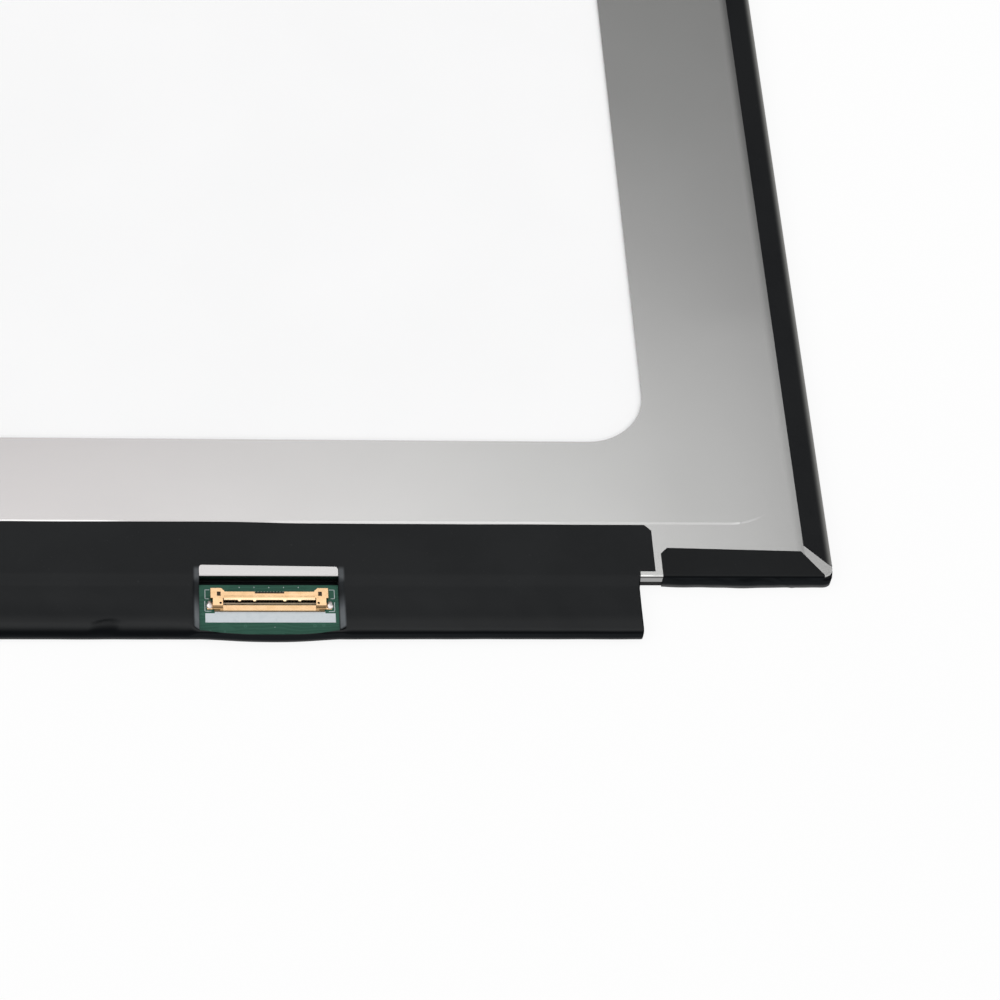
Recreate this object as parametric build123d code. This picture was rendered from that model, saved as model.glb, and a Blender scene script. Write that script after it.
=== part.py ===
from build123d import *
import os
from math import atan, degrees

# A slim laptop display panel lying screen side down. X runs along its width, Y from the driver board's
# edge to the top edge and Z up through the layers, from the screen to the pressed rear cover.
# The origin is under the middle of the whole outline, on the plane of the screen. Sizes are in millimetres.

# Rear cover, one pressed sheet with folded walls
cover_width = 350.46
cover_height = 205.65
cover_corner_radius = 1.8
cover_sheet = 0.25
cover_bend_radius = 0.35
cover_wall_depth = 1.55
emboss_height = 0.20
emboss_run = 0.30
emboss_side_margin = 5.95
emboss_bottom_margin = 10.19
emboss_corner_radius = 10.0
window_side_margin = 28.5
window_top_margin = 28.5
window_bottom_margin = 26.57
window_corner_radius = 10.0

# Thickness of each layer, from the screen side up
polariser_thickness = 0.15
glass_thickness = 0.30
rim_tape_thickness = 0.10
shelf_thickness = 0.30
prism_thickness = 0.15
diffuser_thickness = 0.12
guide_thickness = 0.60
reflector_thickness = 0.23
tape_thickness = 0.10

# Picture area, glass and polarisers, measured in from the edges of the cover
active_side_border = 3.15
active_top_border = 3.20
active_bottom_border = 8.86
glass_margin = 0.95
glass_bottom_margin = 1.25
ledge_width = 5.0
front_polariser_inset = 0.80
rear_polariser_inset = 0.30

# Moulded frame
mould_clearance = 0.05
mould_edge_break = 0.20
mould_wall = 0.80
glass_clearance = 0.15
aperture_margin = 0.60
rim_tape_setback = 0.15

# Light guide, films and the row of light emitters
film_clearance = 0.30
film_setback = 0.30
guide_lead = 2.2
led_width = 3.5
led_depth = 1.0
led_height = 0.50
led_pitch = 7.1
led_gap = 0.10
led_end_margin = 4.0
led_flex_thickness = 0.12
led_flex_margin = 1.2
led_flex_overlap = 1.0
led_flex_clearance = 0.20
led_tail_width = 10.0
led_tail_clearance = 0.30

# Driver board below the cover
board_gap = 0.80
board_depth = 9.25
board_thickness = 0.80
board_end_margin = 32.6
board_corner_radius = 0.6
flex_slot_clearance = 0.30
tallest_component = 1.10

# Films and chips that join the glass to the board
driver_count = 4
driver_end_margin = 7.0
panel_flex_width = 40.0
panel_flex_thickness = 0.06
panel_flex_ledge_overlap = 1.6
panel_flex_board_overlap = 2.0
driver_chip_length = 24.0
driver_chip_depth = 1.2
driver_chip_height = 0.25
driver_chip_setback = 0.70

# Chips and small parts on the rear face of the board, under the tape
timing_chip_offset = 63.0
timing_chip_size = 6.5
timing_chip_height = 0.85
power_chip_offset = 48.0
power_chip_size = 4.0
power_chip_height = 0.75
backlight_chip_offset = 20.0
backlight_chip_size = 3.0
backlight_chip_height = 0.75
inductor_size = 3.8
inductor_offset = 7.0
inductor_corner_radius = 0.7
passive_length = 1.0
passive_width = 0.5
passive_height = 0.5
passive_pitch = 6.5
passive_edge_margin = 1.5
passive_clearance = 1.2
led_socket_end_margin = 38.6
led_socket_wall = 0.8
led_socket_depth = 3.2
led_socket_height = 0.95
led_socket_setback = 1.6
led_slot_floor = 0.40
led_slot_clearance = 0.10
led_slot_depth = 2.0

# Display cable socket, d running from its rear edge towards the board's lower edge
socket_side_margin = 92.2
socket_setback = 1.2
socket_span = 18.75
socket_bar_span = 14.6
socket_height = 1.02
shell_sheet = 0.12
shell_low_height = 0.42
ear_depth = 1.84
ear_overlap = 0.15
ear_chamfer = 0.55
bar_rear_d = 0.68
bar_front_d = 2.24
bar_notch_width = 4.7
bar_notch_depth = 0.35
bar_finger_radius = 0.28
bar_finger_pitch = 2.4
ear_hole_width = 0.60
ear_hole_depth = 0.80
ear_hole_inset = 0.77
ear_hole_d = 1.08
catch_hole_diameter = 0.40
catch_hole_inset = 0.50
catch_hole_d = 2.75
latch_end_d = 3.15
latch_fall = 0.14
latch_curl_d = 3.45
latch_foot_d = 3.62
latch_gap = 0.12
apron_overlap = 0.60
apron_rear_d = 2.88
apron_front_d = 3.86
shell_low_inset = 0.35
rear_leg_start_d = 0.3
rear_leg_end_d = 1.6
foot_length = 0.9
foot_start_d = 2.25
foot_end_d = 3.45
housing_end_inset = 0.6
housing_wall_depth = 0.42
mouth_end_clearance = 0.14
mouth_roof = 0.14
mouth_sill_d = 2.33
sill_groove_d = 2.64
bay_floor = 0.10
bay_floor_start_d = 1.80
contact_count = 30
contact_pitch = 0.5
contact_width = 0.22
contact_sheet = 0.08
contact_tail_d = 0.25
contact_flat_end_d = 1.25
contact_rise_end_d = 1.75
contact_tip_d = 2.2
contact_rise = 0.22
solder_height = 0.34
solder_margin = 0.06
solder_round = 0.16

# Folded black tape over the board, with its window at the socket
shield_setback = 0.17
shield_end_overlap = 0.4
shield_shoulder = 2.77
shield_step = 1.05
shield_chamfer = 1.1
shield_drape_run = 1.6
shield_component_gap = 0.05
shield_lip_clearance = 0.33
shield_lip_radius = 0.30
shield_corner_radius = 0.9
shield_window_clearance = 1.2
shield_window_border = 1.0
shield_bulge = 0.55
shield_window_reach = 1.8
shield_window_radius = 0.3
shield_flap_run = 1.0
shield_flap_gap = 0.03
shield_chip_gap = 0.02
shield_glass_gap = 0.30
shield_step_run = 0.5
shield_step_lead = 0.10

# Edge tapes, folded round the module, with mitred corners
edge_tape_reach = 4.3
edge_tape_front_overlap = 0.6
corner_tape_gap = 1.2
corner_tape_reach_inner = 5.55
corner_tape_reach_outer = 4.95
corner_tape_chamfer = 1.1
corner_tape_shoulder = 4.85
corner_tape_tip = 1.45
corner_tape_glass_overlap = 0.3
mitre_gap = 1.38
mitre_shift = 0.93
mitre_tip = 0.35
tape_joint_gap = 0.25
corner_bare_depth = 0.5

# Heights worked out from the layers
cf_front = polariser_thickness
tft_front = cf_front + glass_thickness
tft_rear = tft_front + glass_thickness
rim_tape_front = tft_rear + polariser_thickness
shelf_front = rim_tape_front + rim_tape_thickness
shelf_rear = shelf_front + shelf_thickness
lower_prism_front = shelf_rear + prism_thickness
diffuser_front = lower_prism_front + prism_thickness
guide_front = diffuser_front + diffuser_thickness
guide_rear = guide_front + guide_thickness
cover_inside = guide_rear + reflector_thickness
rim_rear = cover_inside + cover_sheet
cover_rear = rim_rear + emboss_height
wall_end = rim_rear - cover_wall_depth
board_front = tft_front
board_rear = board_front + board_thickness
panel_flex_front = tft_front - panel_flex_thickness
driver_chip_front = tft_front - driver_chip_height
corner_bare_end = rim_rear - corner_bare_depth
shield_inside = board_rear + tallest_component + shield_component_gap

# Outlines worked out from the cover
shield_lip = board_gap + board_depth + shield_lip_clearance
shield_overhang = shield_lip + tape_thickness + shield_bulge
outline_depth = cover_height + tape_thickness + shield_overhang
right = cover_width / 2
bottom = shield_overhang - outline_depth / 2
top = bottom + cover_height
glass_right = right - glass_margin
glass_top = top - glass_margin
tft_bottom = bottom + glass_bottom_margin
cf_bottom = tft_bottom + ledge_width
aperture_right = right - active_side_border + aperture_margin
aperture_top = top - active_top_border + aperture_margin
active_bottom = bottom + active_bottom_border
aperture_bottom = active_bottom - aperture_margin
guide_bottom = active_bottom - guide_lead
led_front_y = guide_bottom - led_gap
led_rear_y = led_front_y - led_depth
led_flex_bottom = led_rear_y - led_flex_margin
led_flex_top = guide_bottom + led_flex_overlap
pocket_inset = cover_sheet + mould_clearance + mould_wall
pocket_right = right - pocket_inset
pocket_top = top - pocket_inset
pocket_bottom = led_flex_bottom - led_flex_clearance
film_right = pocket_right - film_clearance
film_top = pocket_top - film_clearance
board_right = right - board_end_margin
board_top = bottom - board_gap
board_bottom = board_top - board_depth
shield_low_right = board_right + shield_end_overlap
shield_up_right = shield_low_right + shield_shoulder
corner_tape_left_x = shield_up_right + corner_tape_gap
edge_tape_front_reach = glass_margin + edge_tape_front_overlap
socket_x = right - socket_side_margin
socket_rear = board_top - socket_setback
shell_low_right = socket_span / 2 - shell_low_inset
window_half = shell_low_right + foot_length + shield_window_clearance
window_left = socket_x - window_half
window_right = socket_x + window_half
lip_inside = bottom - shield_lip
lip_outside = lip_inside - tape_thickness
drape_end = bottom - shield_drape_run
led_socket_x = led_socket_end_margin - board_right
backlight_chip_x = led_socket_x + backlight_chip_offset
power_chip_x = backlight_chip_x + power_chip_offset
timing_chip_x = socket_x - timing_chip_offset
tail_half = led_tail_width / 2 + led_tail_clearance
tail_front = guide_rear - led_tail_clearance


def plate(x0, x1, y0, y1, z0, z1, radius=0.0):
    """A flat plate between two corners, with its upright edges rounded where a radius is given."""
    width = x1 - x0
    depth = y1 - y0
    outline = RectangleRounded(width, depth, radius) if radius else Rectangle(width, depth)
    return Pos((x0 + x1) / 2, (y0 + y1) / 2, z0) * extrude(outline, z1 - z0)


def prism(points, z0, z1):
    """An upright prism over a polygon given in plan."""
    return Pos(0, 0, z0) * extrude(make_face(Polyline(*points, close=True)), z1 - z0)


def side_extrusion(points, x0, x1):
    """A polygon given as (y, z), extruded along X."""
    face = Plane.YZ.offset(x0) * make_face(Polyline(*points, close=True))
    return extrude(face, x1 - x0)


def end_extrusion(points, y0, y1):
    """A polygon given as (x, z), extruded along Y."""
    face = Plane.XZ.offset(-y0) * make_face(Polyline(*points, close=True))
    return extrude(face, y0 - y1)


def offset_path(points, distance):
    """The path moved to its left by a distance, with mitred corners."""
    spots = [Vector(*point) for point in points]
    runs = [(b - a).normalized() for a, b in zip(spots, spots[1:])]
    normals = [Vector(-run.Y, run.X) for run in runs]
    moved = [spots[0] + normals[0] * distance]
    for spot, before, after in zip(spots[1:-1], normals, normals[1:]):
        bisector = (before + after).normalized()
        moved.append(spot + bisector * (distance / bisector.dot(after)))
    moved.append(spots[-1] + normals[-1] * distance)
    return [(spot.X, spot.Y) for spot in moved]


def bent_sheet(points, thickness, x0, x1):
    """A bent sheet: a (y, z) path thickened to its left and extruded along X."""
    return side_extrusion(points + offset_path(points, thickness)[::-1], x0, x1)


def top_edges(part):
    return part.faces().sort_by(Axis.Z)[-1].edges()


def cover_outline(inset, z0, z1):
    """The cover's outline, moved in by an inset, as a plate with its round corners."""
    radius = max(cover_corner_radius - inset, cover_bend_radius)
    return plate(-right + inset, right - inset, bottom + inset, top - inset, z0, z1, radius)


def emboss(inset, z0):
    """The raised middle of the cover as a low frustum with sloping sides."""
    width = 2 * (right - emboss_side_margin - inset)
    low = bottom + emboss_bottom_margin + inset
    high = top - emboss_side_margin - inset
    outline = RectangleRounded(width, high - low, emboss_corner_radius - inset)
    slope = degrees(atan(emboss_run / emboss_height))
    return Pos(0, (low + high) / 2, z0) * extrude(outline, emboss_height, taper=slope)


def rear_cover():
    outside = cover_outline(0, wall_end, rim_rear)
    outside = fillet(top_edges(outside), cover_bend_radius)
    inside = cover_outline(cover_sheet, wall_end, cover_inside)
    hollow = emboss(cover_sheet, cover_inside)
    window = plate(
        -right + window_side_margin,
        right - window_side_margin,
        bottom + window_bottom_margin,
        top - window_top_margin,
        cover_inside - cover_sheet,
        cover_rear + cover_sheet,
        window_corner_radius,
    )
    tail_slot = plate(
        led_socket_x - tail_half,
        led_socket_x + tail_half,
        bottom - cover_sheet,
        bottom + cover_sheet,
        tail_front,
        cover_inside,
    )
    return outside + emboss(0, rim_rear) - inside - hollow - window - tail_slot


def mould_frame():
    flange = cover_outline(0, cf_front, wall_end)
    inner = cover_outline(cover_sheet + mould_clearance, wall_end, cover_inside)
    inner = chamfer(top_edges(inner), mould_edge_break)
    glass_pocket = plate(
        -glass_right - glass_clearance,
        glass_right + glass_clearance,
        tft_bottom - glass_clearance,
        glass_top + glass_clearance,
        cf_front,
        shelf_front,
    )
    film_pocket = plate(-pocket_right, pocket_right, pocket_bottom, pocket_top, shelf_rear, cover_inside)
    aperture = plate(
        -aperture_right,
        aperture_right,
        aperture_bottom,
        aperture_top,
        cf_front,
        cover_inside,
    )
    slot_right = shield_low_right + flex_slot_clearance
    flex_slot = plate(-slot_right, slot_right, bottom, tft_bottom, cf_front, shelf_front)
    tail_slot = plate(
        led_socket_x - tail_half,
        led_socket_x + tail_half,
        bottom,
        pocket_bottom,
        tail_front,
        cover_inside,
    )
    return flange + inner - glass_pocket - film_pocket - aperture - flex_slot - tail_slot


def front_polariser():
    inset = front_polariser_inset
    return plate(
        -glass_right + inset,
        glass_right - inset,
        cf_bottom + inset,
        glass_top - inset,
        0,
        cf_front,
    )


def colour_filter_glass():
    return plate(-glass_right, glass_right, cf_bottom, glass_top, cf_front, tft_front)


def tft_glass():
    return plate(-glass_right, glass_right, tft_bottom, glass_top, tft_front, tft_rear)


def rear_polariser():
    inset = rear_polariser_inset
    return plate(
        -glass_right + inset,
        glass_right - inset,
        cf_bottom + inset,
        glass_top - inset,
        tft_rear,
        rim_tape_front,
    )


def rim_tape():
    inset = rear_polariser_inset
    outside = plate(
        -glass_right + inset,
        glass_right - inset,
        cf_bottom + inset,
        glass_top - inset,
        rim_tape_front,
        shelf_front,
    )
    inside = plate(
        -aperture_right - rim_tape_setback,
        aperture_right + rim_tape_setback,
        aperture_bottom - rim_tape_setback,
        aperture_top + rim_tape_setback,
        rim_tape_front,
        shelf_front,
    )
    return outside - inside


def film(z0, z1, y0=guide_bottom + film_setback):
    """One sheet of the backlight, inside the pocket of the moulded frame."""
    return plate(-film_right, film_right, y0, film_top, z0, z1)


def upper_prism_film():
    return film(shelf_rear, lower_prism_front)


def lower_prism_film():
    return film(lower_prism_front, diffuser_front)


def diffuser_film():
    return film(diffuser_front, guide_front)


def light_guide_plate():
    return film(guide_front, guide_rear, guide_bottom)


def reflector_sheet():
    return film(guide_rear, cover_inside, led_flex_top + led_flex_clearance)


def led_packages():
    count = int((2 * film_right - 2 * led_end_margin - led_width) / led_pitch) + 1
    first = -led_pitch * (count - 1) / 2
    half = led_width / 2
    body = plate(-half, half, led_rear_y, led_front_y, guide_rear - led_height, guide_rear)
    return Compound([Pos(first + led_pitch * place, 0, 0) * body.solid() for place in range(count)])


def led_flex():
    strip = plate(
        -film_right,
        film_right,
        led_flex_bottom,
        led_flex_top,
        guide_rear,
        guide_rear + led_flex_thickness,
    )
    slot_low = board_rear + led_slot_floor
    socket_top = board_top - led_socket_setback
    tail = [
        (led_flex_bottom, guide_rear + led_flex_thickness),
        (bottom, guide_rear + led_flex_thickness),
        (socket_top, slot_low + led_flex_thickness),
        (socket_top - led_slot_depth, slot_low + led_flex_thickness),
    ]
    half = led_tail_width / 2
    return strip + bent_sheet(tail, led_flex_thickness, led_socket_x - half, led_socket_x + half)


def led_flex_socket():
    half = led_tail_width / 2 + led_slot_clearance + led_socket_wall
    slot_half = led_tail_width / 2 + led_slot_clearance
    rear = board_top - led_socket_setback
    body = plate(
        led_socket_x - half,
        led_socket_x + half,
        rear - led_socket_depth,
        rear,
        board_rear,
        board_rear + led_socket_height,
    )
    slot = plate(
        led_socket_x - slot_half,
        led_socket_x + slot_half,
        rear - led_slot_depth - led_slot_clearance,
        rear,
        board_rear + led_slot_floor,
        board_rear + led_slot_floor + led_flex_thickness + led_slot_clearance,
    )
    return body - slot


def driver_places():
    last = board_right - driver_end_margin - panel_flex_width / 2
    pitch = 2 * last / (driver_count - 1)
    return [pitch * place - last for place in range(driver_count)]


def panel_flexes():
    body = plate(
        -panel_flex_width / 2,
        panel_flex_width / 2,
        board_top - panel_flex_board_overlap,
        tft_bottom + panel_flex_ledge_overlap,
        panel_flex_front,
        tft_front,
    )
    return Compound([Pos(x, 0, 0) * body.solid() for x in driver_places()])


def source_driver_chips():
    low = tft_bottom + panel_flex_ledge_overlap + driver_chip_setback
    body = plate(
        -driver_chip_length / 2,
        driver_chip_length / 2,
        low,
        low + driver_chip_depth,
        driver_chip_front,
        tft_front,
    )
    return Compound([Pos(x, 0, 0) * body.solid() for x in driver_places()])


def driver_board():
    return plate(
        -board_right,
        board_right,
        board_bottom,
        board_top,
        board_front,
        board_rear,
        board_corner_radius,
    )


def square_chip(x, size, height):
    """A square package on the rear face of the board, on its middle line."""
    middle = (board_bottom + board_top) / 2
    half = size / 2
    return plate(x - half, x + half, middle - half, middle + half, board_rear, board_rear + height)


def timing_controller():
    return square_chip(timing_chip_x, timing_chip_size, timing_chip_height)


def power_converter():
    return square_chip(power_chip_x, power_chip_size, power_chip_height)


def backlight_driver():
    return square_chip(backlight_chip_x, backlight_chip_size, backlight_chip_height)


def power_inductors():
    coils = []
    for x in (power_chip_x + inductor_offset, backlight_chip_x + inductor_offset):
        coil = square_chip(x, inductor_size, tallest_component)
        coils.append(fillet(coil.edges().filter_by(Axis.Z), inductor_corner_radius).solid())
    return Compound(coils)


def board_passives():
    led_socket_half = led_tail_width / 2 + led_slot_clearance + led_socket_wall
    taken = [
        (socket_x, window_half + shield_flap_run),
        (led_socket_x, led_socket_half),
        (timing_chip_x, timing_chip_size / 2),
        (power_chip_x, power_chip_size / 2),
        (power_chip_x + inductor_offset, inductor_size / 2),
        (backlight_chip_x, backlight_chip_size / 2),
        (backlight_chip_x + inductor_offset, inductor_size / 2),
    ]
    reach = passive_clearance + passive_length / 2
    half_count = int((board_right - reach) / passive_pitch)
    pieces = []
    for place in range(-half_count, half_count + 1):
        x = place * passive_pitch
        if any(abs(x - middle) < half + reach for middle, half in taken):
            continue
        for y in (board_top - passive_edge_margin, board_bottom + passive_edge_margin):
            piece = plate(
                x - passive_length / 2,
                x + passive_length / 2,
                y - passive_width / 2,
                y + passive_width / 2,
                board_rear,
                board_rear + passive_height,
            )
            pieces.append(piece.solid())
    return Compound(pieces)


def socket_plate(x0, x1, d0, d1, z0, z1):
    """A plate of the socket: x from its middle, d from its rear edge, z from the board."""
    y0 = socket_rear - d1
    y1 = socket_rear - d0
    return plate(socket_x + x0, socket_x + x1, y0, y1, board_rear + z0, board_rear + z1)


def socket_bend(points, thickness, x0, x1):
    """A bent strip of the socket along a path given as (d, z)."""
    path = [(socket_rear - d, board_rear + z) for d, z in points]
    return bent_sheet(path, thickness, socket_x + x0, socket_x + x1)


def connector_shell():
    half_bar = socket_bar_span / 2
    half_span = socket_span / 2
    roof = socket_height - shell_sheet
    low_roof = shell_low_height - shell_sheet
    bar = socket_plate(-half_bar, half_bar, bar_rear_d, bar_front_d, roof, socket_height)
    half_notch = bar_notch_width / 2
    notch_end_d = bar_rear_d + bar_notch_depth
    bar -= socket_plate(-half_notch, half_notch, bar_rear_d, notch_end_d, roof, socket_height)
    for place in (-2, -1, 1, 2):
        finger_x = socket_x + place * bar_finger_pitch
        spot = Pos(finger_x, socket_rear - bar_front_d, board_rear + roof + shell_sheet / 2)
        bar += spot * Cylinder(bar_finger_radius, shell_sheet)
    latch_end = socket_height - latch_fall
    latch_path = [
        (ear_depth, socket_height),
        (latch_end_d, latch_end),
        (latch_curl_d, shell_low_height),
        (latch_foot_d, shell_low_height),
    ]
    half_apron = half_bar + apron_overlap
    apron = socket_plate(-half_apron, half_apron, apron_rear_d, apron_front_d, low_roof, shell_low_height)
    shell = bar + apron
    for side in (-1, 1):
        inner = side * (half_bar - ear_overlap)
        outer = side * half_span
        ear = socket_plate(min(inner, outer), max(inner, outer), 0, ear_depth, roof, socket_height)
        inner_corner = (socket_x + inner, socket_rear, board_rear)
        ear = chamfer(ear.edges().filter_by(Axis.Z).sort_by_distance(inner_corner)[0], ear_chamfer)
        low_outer = side * shell_low_right
        low_inner = side * (half_bar + latch_gap)
        latch = socket_bend(latch_path, shell_sheet, min(low_inner, low_outer), max(low_inner, low_outer))
        hole_x = side * (half_bar + ear_hole_inset)
        catch_x = side * (half_bar + catch_hole_inset)
        hole = socket_plate(
            hole_x - ear_hole_width / 2,
            hole_x + ear_hole_width / 2,
            ear_hole_d - ear_hole_depth / 2,
            ear_hole_d + ear_hole_depth / 2,
            roof,
            socket_height,
        )
        catch = Pos(socket_x + catch_x, socket_rear - catch_hole_d, board_rear + socket_height)
        catch *= Cylinder(catch_hole_diameter / 2, 2 * socket_height)
        leg_inner = side * (half_span - shell_sheet)
        leg = socket_plate(
            min(leg_inner, outer), max(leg_inner, outer), rear_leg_start_d, rear_leg_end_d, 0, socket_height
        )
        post_inner = side * (shell_low_right - shell_sheet)
        post_outline = [
            (socket_rear - foot_start_d, board_rear),
            (socket_rear - latch_end_d, board_rear),
            (socket_rear - latch_end_d, board_rear + latch_end - shell_sheet / 2),
            (socket_rear - foot_start_d, board_rear + roof),
        ]
        post = side_extrusion(
            post_outline, socket_x + min(post_inner, low_outer), socket_x + max(post_inner, low_outer)
        )
        foot_outer = side * (shell_low_right + foot_length)
        foot = socket_plate(
            min(low_outer, foot_outer), max(low_outer, foot_outer), foot_start_d, foot_end_d, 0, shell_sheet
        )
        shell += ear - hole
        shell += latch - catch
        shell += leg + post + foot
    return shell


def connector_housing():
    roof = socket_height - shell_sheet
    sill = shell_low_height - shell_sheet
    half = socket_span / 2 - housing_end_inset
    mouth_half = contact_pitch * (contact_count - 1) / 2 + contact_width / 2 + mouth_end_clearance
    body = socket_plate(-half, half, bar_rear_d, ear_depth, 0, roof)
    floor = socket_plate(-half, half, bar_rear_d, apron_front_d, 0, sill)
    mouth = socket_plate(
        -mouth_half, mouth_half, bar_rear_d + housing_wall_depth, ear_depth, 0, roof - mouth_roof
    )
    contact_bay = socket_plate(-mouth_half, mouth_half, bar_rear_d, mouth_sill_d, 0, sill)
    under_wall = socket_plate(
        -mouth_half, mouth_half, bar_rear_d, bar_rear_d + housing_wall_depth, contact_sheet, sill
    )
    tip_floor = socket_plate(-mouth_half, mouth_half, bay_floor_start_d, mouth_sill_d, 0, bay_floor)
    groove = socket_plate(-mouth_half, mouth_half, sill_groove_d, apron_rear_d, bay_floor, sill)
    return body + floor - mouth - contact_bay + under_wall + tip_floor - groove


def connector_contacts():
    path = [
        (contact_tail_d, contact_sheet),
        (contact_flat_end_d, contact_sheet),
        (contact_rise_end_d, contact_rise),
        (contact_tip_d, contact_rise),
    ]
    blade = socket_bend(path, contact_sheet, -contact_width / 2, contact_width / 2).solid()
    first = -contact_pitch * (contact_count - 1) / 2
    return Compound([Pos(first + contact_pitch * place, 0, 0) * blade for place in range(contact_count)])


def connector_solder():
    lumps = []
    for side in (-1, 1):
        inner = side * (shell_low_right + solder_margin)
        outer = side * (shell_low_right + foot_length - solder_margin)
        lump = socket_plate(
            min(inner, outer),
            max(inner, outer),
            foot_start_d + solder_margin,
            foot_end_d - solder_margin,
            shell_sheet,
            solder_height,
        )
        lumps.append(fillet(top_edges(lump), solder_round).solid())
    return Compound(lumps)


def lip_bow(y):
    """The line of the free lip below the socket, bowed away from the board between the window's sides."""
    return ThreePointArc((window_left, y), (socket_x, y - shield_bulge), (window_right, y))


def bowed_lip():
    """The free lip as a thin bowed wall, with the floor that joins it to the tape under the board."""
    outer = lip_bow(lip_outside)
    inner = lip_bow(lip_inside)
    wall = make_face([outer, inner, Line(outer @ 0, inner @ 0), Line(outer @ 1, inner @ 1)])
    floor = make_face([inner, Line(inner @ 0, inner @ 1)])
    leaf = Pos(0, 0, panel_flex_front - tape_thickness)
    height = shield_inside - panel_flex_front + tape_thickness
    return leaf * extrude(wall, height) + leaf * extrude(floor, tape_thickness)


def folded_jacket(points, half, low, corner, bend):
    """A solid under a folded (y, z) path, with round corners in plan and a round bend along its lip."""
    body = side_extrusion(points, -half, half)
    body = fillet(body.edges().filter_by(Axis.X).sort_by_distance((0, low, points[3][1]))[0], bend)
    return body & plate(-half, half, low, top, 0, cover_rear, corner)


def board_tape():
    """The whole tape over the board, from the cover's rim round the board's edge and back to the glass."""
    step_y = tft_bottom + panel_flex_ledge_overlap + shield_step_lead
    chip_plane = driver_chip_front - shield_chip_gap
    reach = emboss_bottom_margin - shield_setback
    path = [
        (bottom + shield_step, rim_rear),
        (bottom + cover_bend_radius / 2, rim_rear),
        (drape_end, shield_inside),
        (lip_inside, shield_inside),
        (lip_inside, panel_flex_front),
        (step_y, panel_flex_front),
        (step_y + shield_step_run, chip_plane),
        (cf_bottom - shield_glass_gap, chip_plane),
    ]
    core_right = shield_low_right - tape_thickness
    core_corner = shield_corner_radius - tape_thickness
    core = folded_jacket(path, core_right, lip_inside, core_corner, shield_lip_radius)
    jacket = folded_jacket(
        offset_path(path, -tape_thickness),
        shield_low_right,
        lip_outside,
        shield_corner_radius,
        shield_lip_radius + tape_thickness,
    )
    module = cover_outline(0, panel_flex_front, rim_rear)
    module = fillet(top_edges(module), cover_bend_radius)
    shoulder = prism(
        [
            (-shield_up_right, bottom + shield_step),
            (shield_up_right, bottom + shield_step),
            (shield_up_right, bottom + reach - shield_chamfer),
            (shield_up_right - shield_chamfer, bottom + reach),
            (-shield_up_right + shield_chamfer, bottom + reach),
            (-shield_up_right, bottom + reach - shield_chamfer),
        ],
        rim_rear,
        rim_rear + tape_thickness,
    )
    window = plate(
        window_left,
        window_right,
        lip_inside - shield_lip_radius,
        bottom + shield_window_reach,
        panel_flex_front,
        cover_rear,
        shield_window_radius,
    )
    free_lip = plate(
        window_left,
        window_right,
        lip_outside,
        lip_inside,
        panel_flex_front - tape_thickness,
        cover_rear,
    )
    flap_low_y = lip_inside + shield_lip_radius
    flap_space = plate(
        window_left - shield_flap_run,
        window_right + shield_flap_run,
        flap_low_y,
        drape_end,
        board_rear,
        cover_rear,
    )
    tape = jacket - core - module + shoulder - window - free_lip - flap_space + bowed_lip()
    flap_low = board_rear + shield_flap_gap
    for edge, away in ((window_left, -1), (window_right, 1)):
        far = edge + away * shield_flap_run
        corners = [
            (far, shield_inside),
            (far, shield_inside + tape_thickness),
            (edge, flap_low + tape_thickness),
            (edge, flap_low),
        ]
        tape += end_extrusion(corners, flap_low_y, drape_end)
    return tape


def window_stretch():
    """The stretch of the board's tape round the socket, cut out as a node of its own."""
    half = window_half + shield_flap_run + shield_window_border
    return plate(
        socket_x - half,
        socket_x + half,
        bottom - shield_overhang - tape_thickness,
        top,
        0,
        cover_rear,
    )


def board_cover_tape():
    return board_tape() - window_stretch()


def socket_window_tape():
    return board_tape() & window_stretch()


def module_skin():
    """A film of tape all round the module: the space that the folded edge tapes are cut from."""
    module = cover_outline(0, cf_front, rim_rear)
    module = fillet(top_edges(module), cover_bend_radius)
    jacket = plate(
        -right - tape_thickness,
        right + tape_thickness,
        bottom - tape_thickness,
        top + tape_thickness,
        cf_front - tape_thickness,
        rim_rear + tape_thickness,
        cover_corner_radius + tape_thickness,
    )
    jacket = fillet(top_edges(jacket), cover_bend_radius + tape_thickness)
    return jacket - module


def taped(rear_outline, front_outlines):
    """A folded tape: its rear leaf by one plan outline, its wall and front leaf by others."""
    skin_rear = rim_rear + 2 * tape_thickness
    region = prism(rear_outline, corner_bare_end, skin_rear)
    for outline in front_outlines:
        region += prism(outline, 0, corner_bare_end)
    return module_skin() & region


def edge_tape_right():
    side_start = mitre_shift + mitre_gap / 2 ** 0.5
    outside = right + 2 * tape_thickness
    inner = right - edge_tape_reach
    tip = right - mitre_tip
    rear = [
        (inner, bottom + side_start + edge_tape_reach),
        (tip, bottom + side_start + mitre_tip),
        (outside, bottom + side_start + mitre_tip),
        (outside, top - side_start - mitre_tip),
        (tip, top - side_start - mitre_tip),
        (inner, top - side_start - edge_tape_reach),
    ]
    front_inner = right - edge_tape_front_reach
    low = bottom + edge_tape_front_reach + tape_joint_gap
    high = top - edge_tape_front_reach - tape_joint_gap
    front = [(front_inner, low), (outside, low), (outside, high), (front_inner, high)]
    return taped(rear, [front])


def edge_tape_left():
    return mirror(edge_tape_right(), Plane.YZ)


def edge_tape_top():
    across_start = mitre_gap / 2 ** 0.5 - mitre_shift
    outside = top + 2 * tape_thickness
    end = right + 2 * tape_thickness
    inner = top - edge_tape_reach
    tip = right - across_start - mitre_tip
    shoulder = right - across_start - edge_tape_reach
    rear = [
        (-shoulder, inner),
        (shoulder, inner),
        (tip, top - mitre_tip),
        (tip, outside),
        (-tip, outside),
        (-tip, top - mitre_tip),
    ]
    front_inner = top - edge_tape_front_reach
    front = [(-end, front_inner), (end, front_inner), (end, outside), (-end, outside)]
    return taped(rear, [front])


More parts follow.
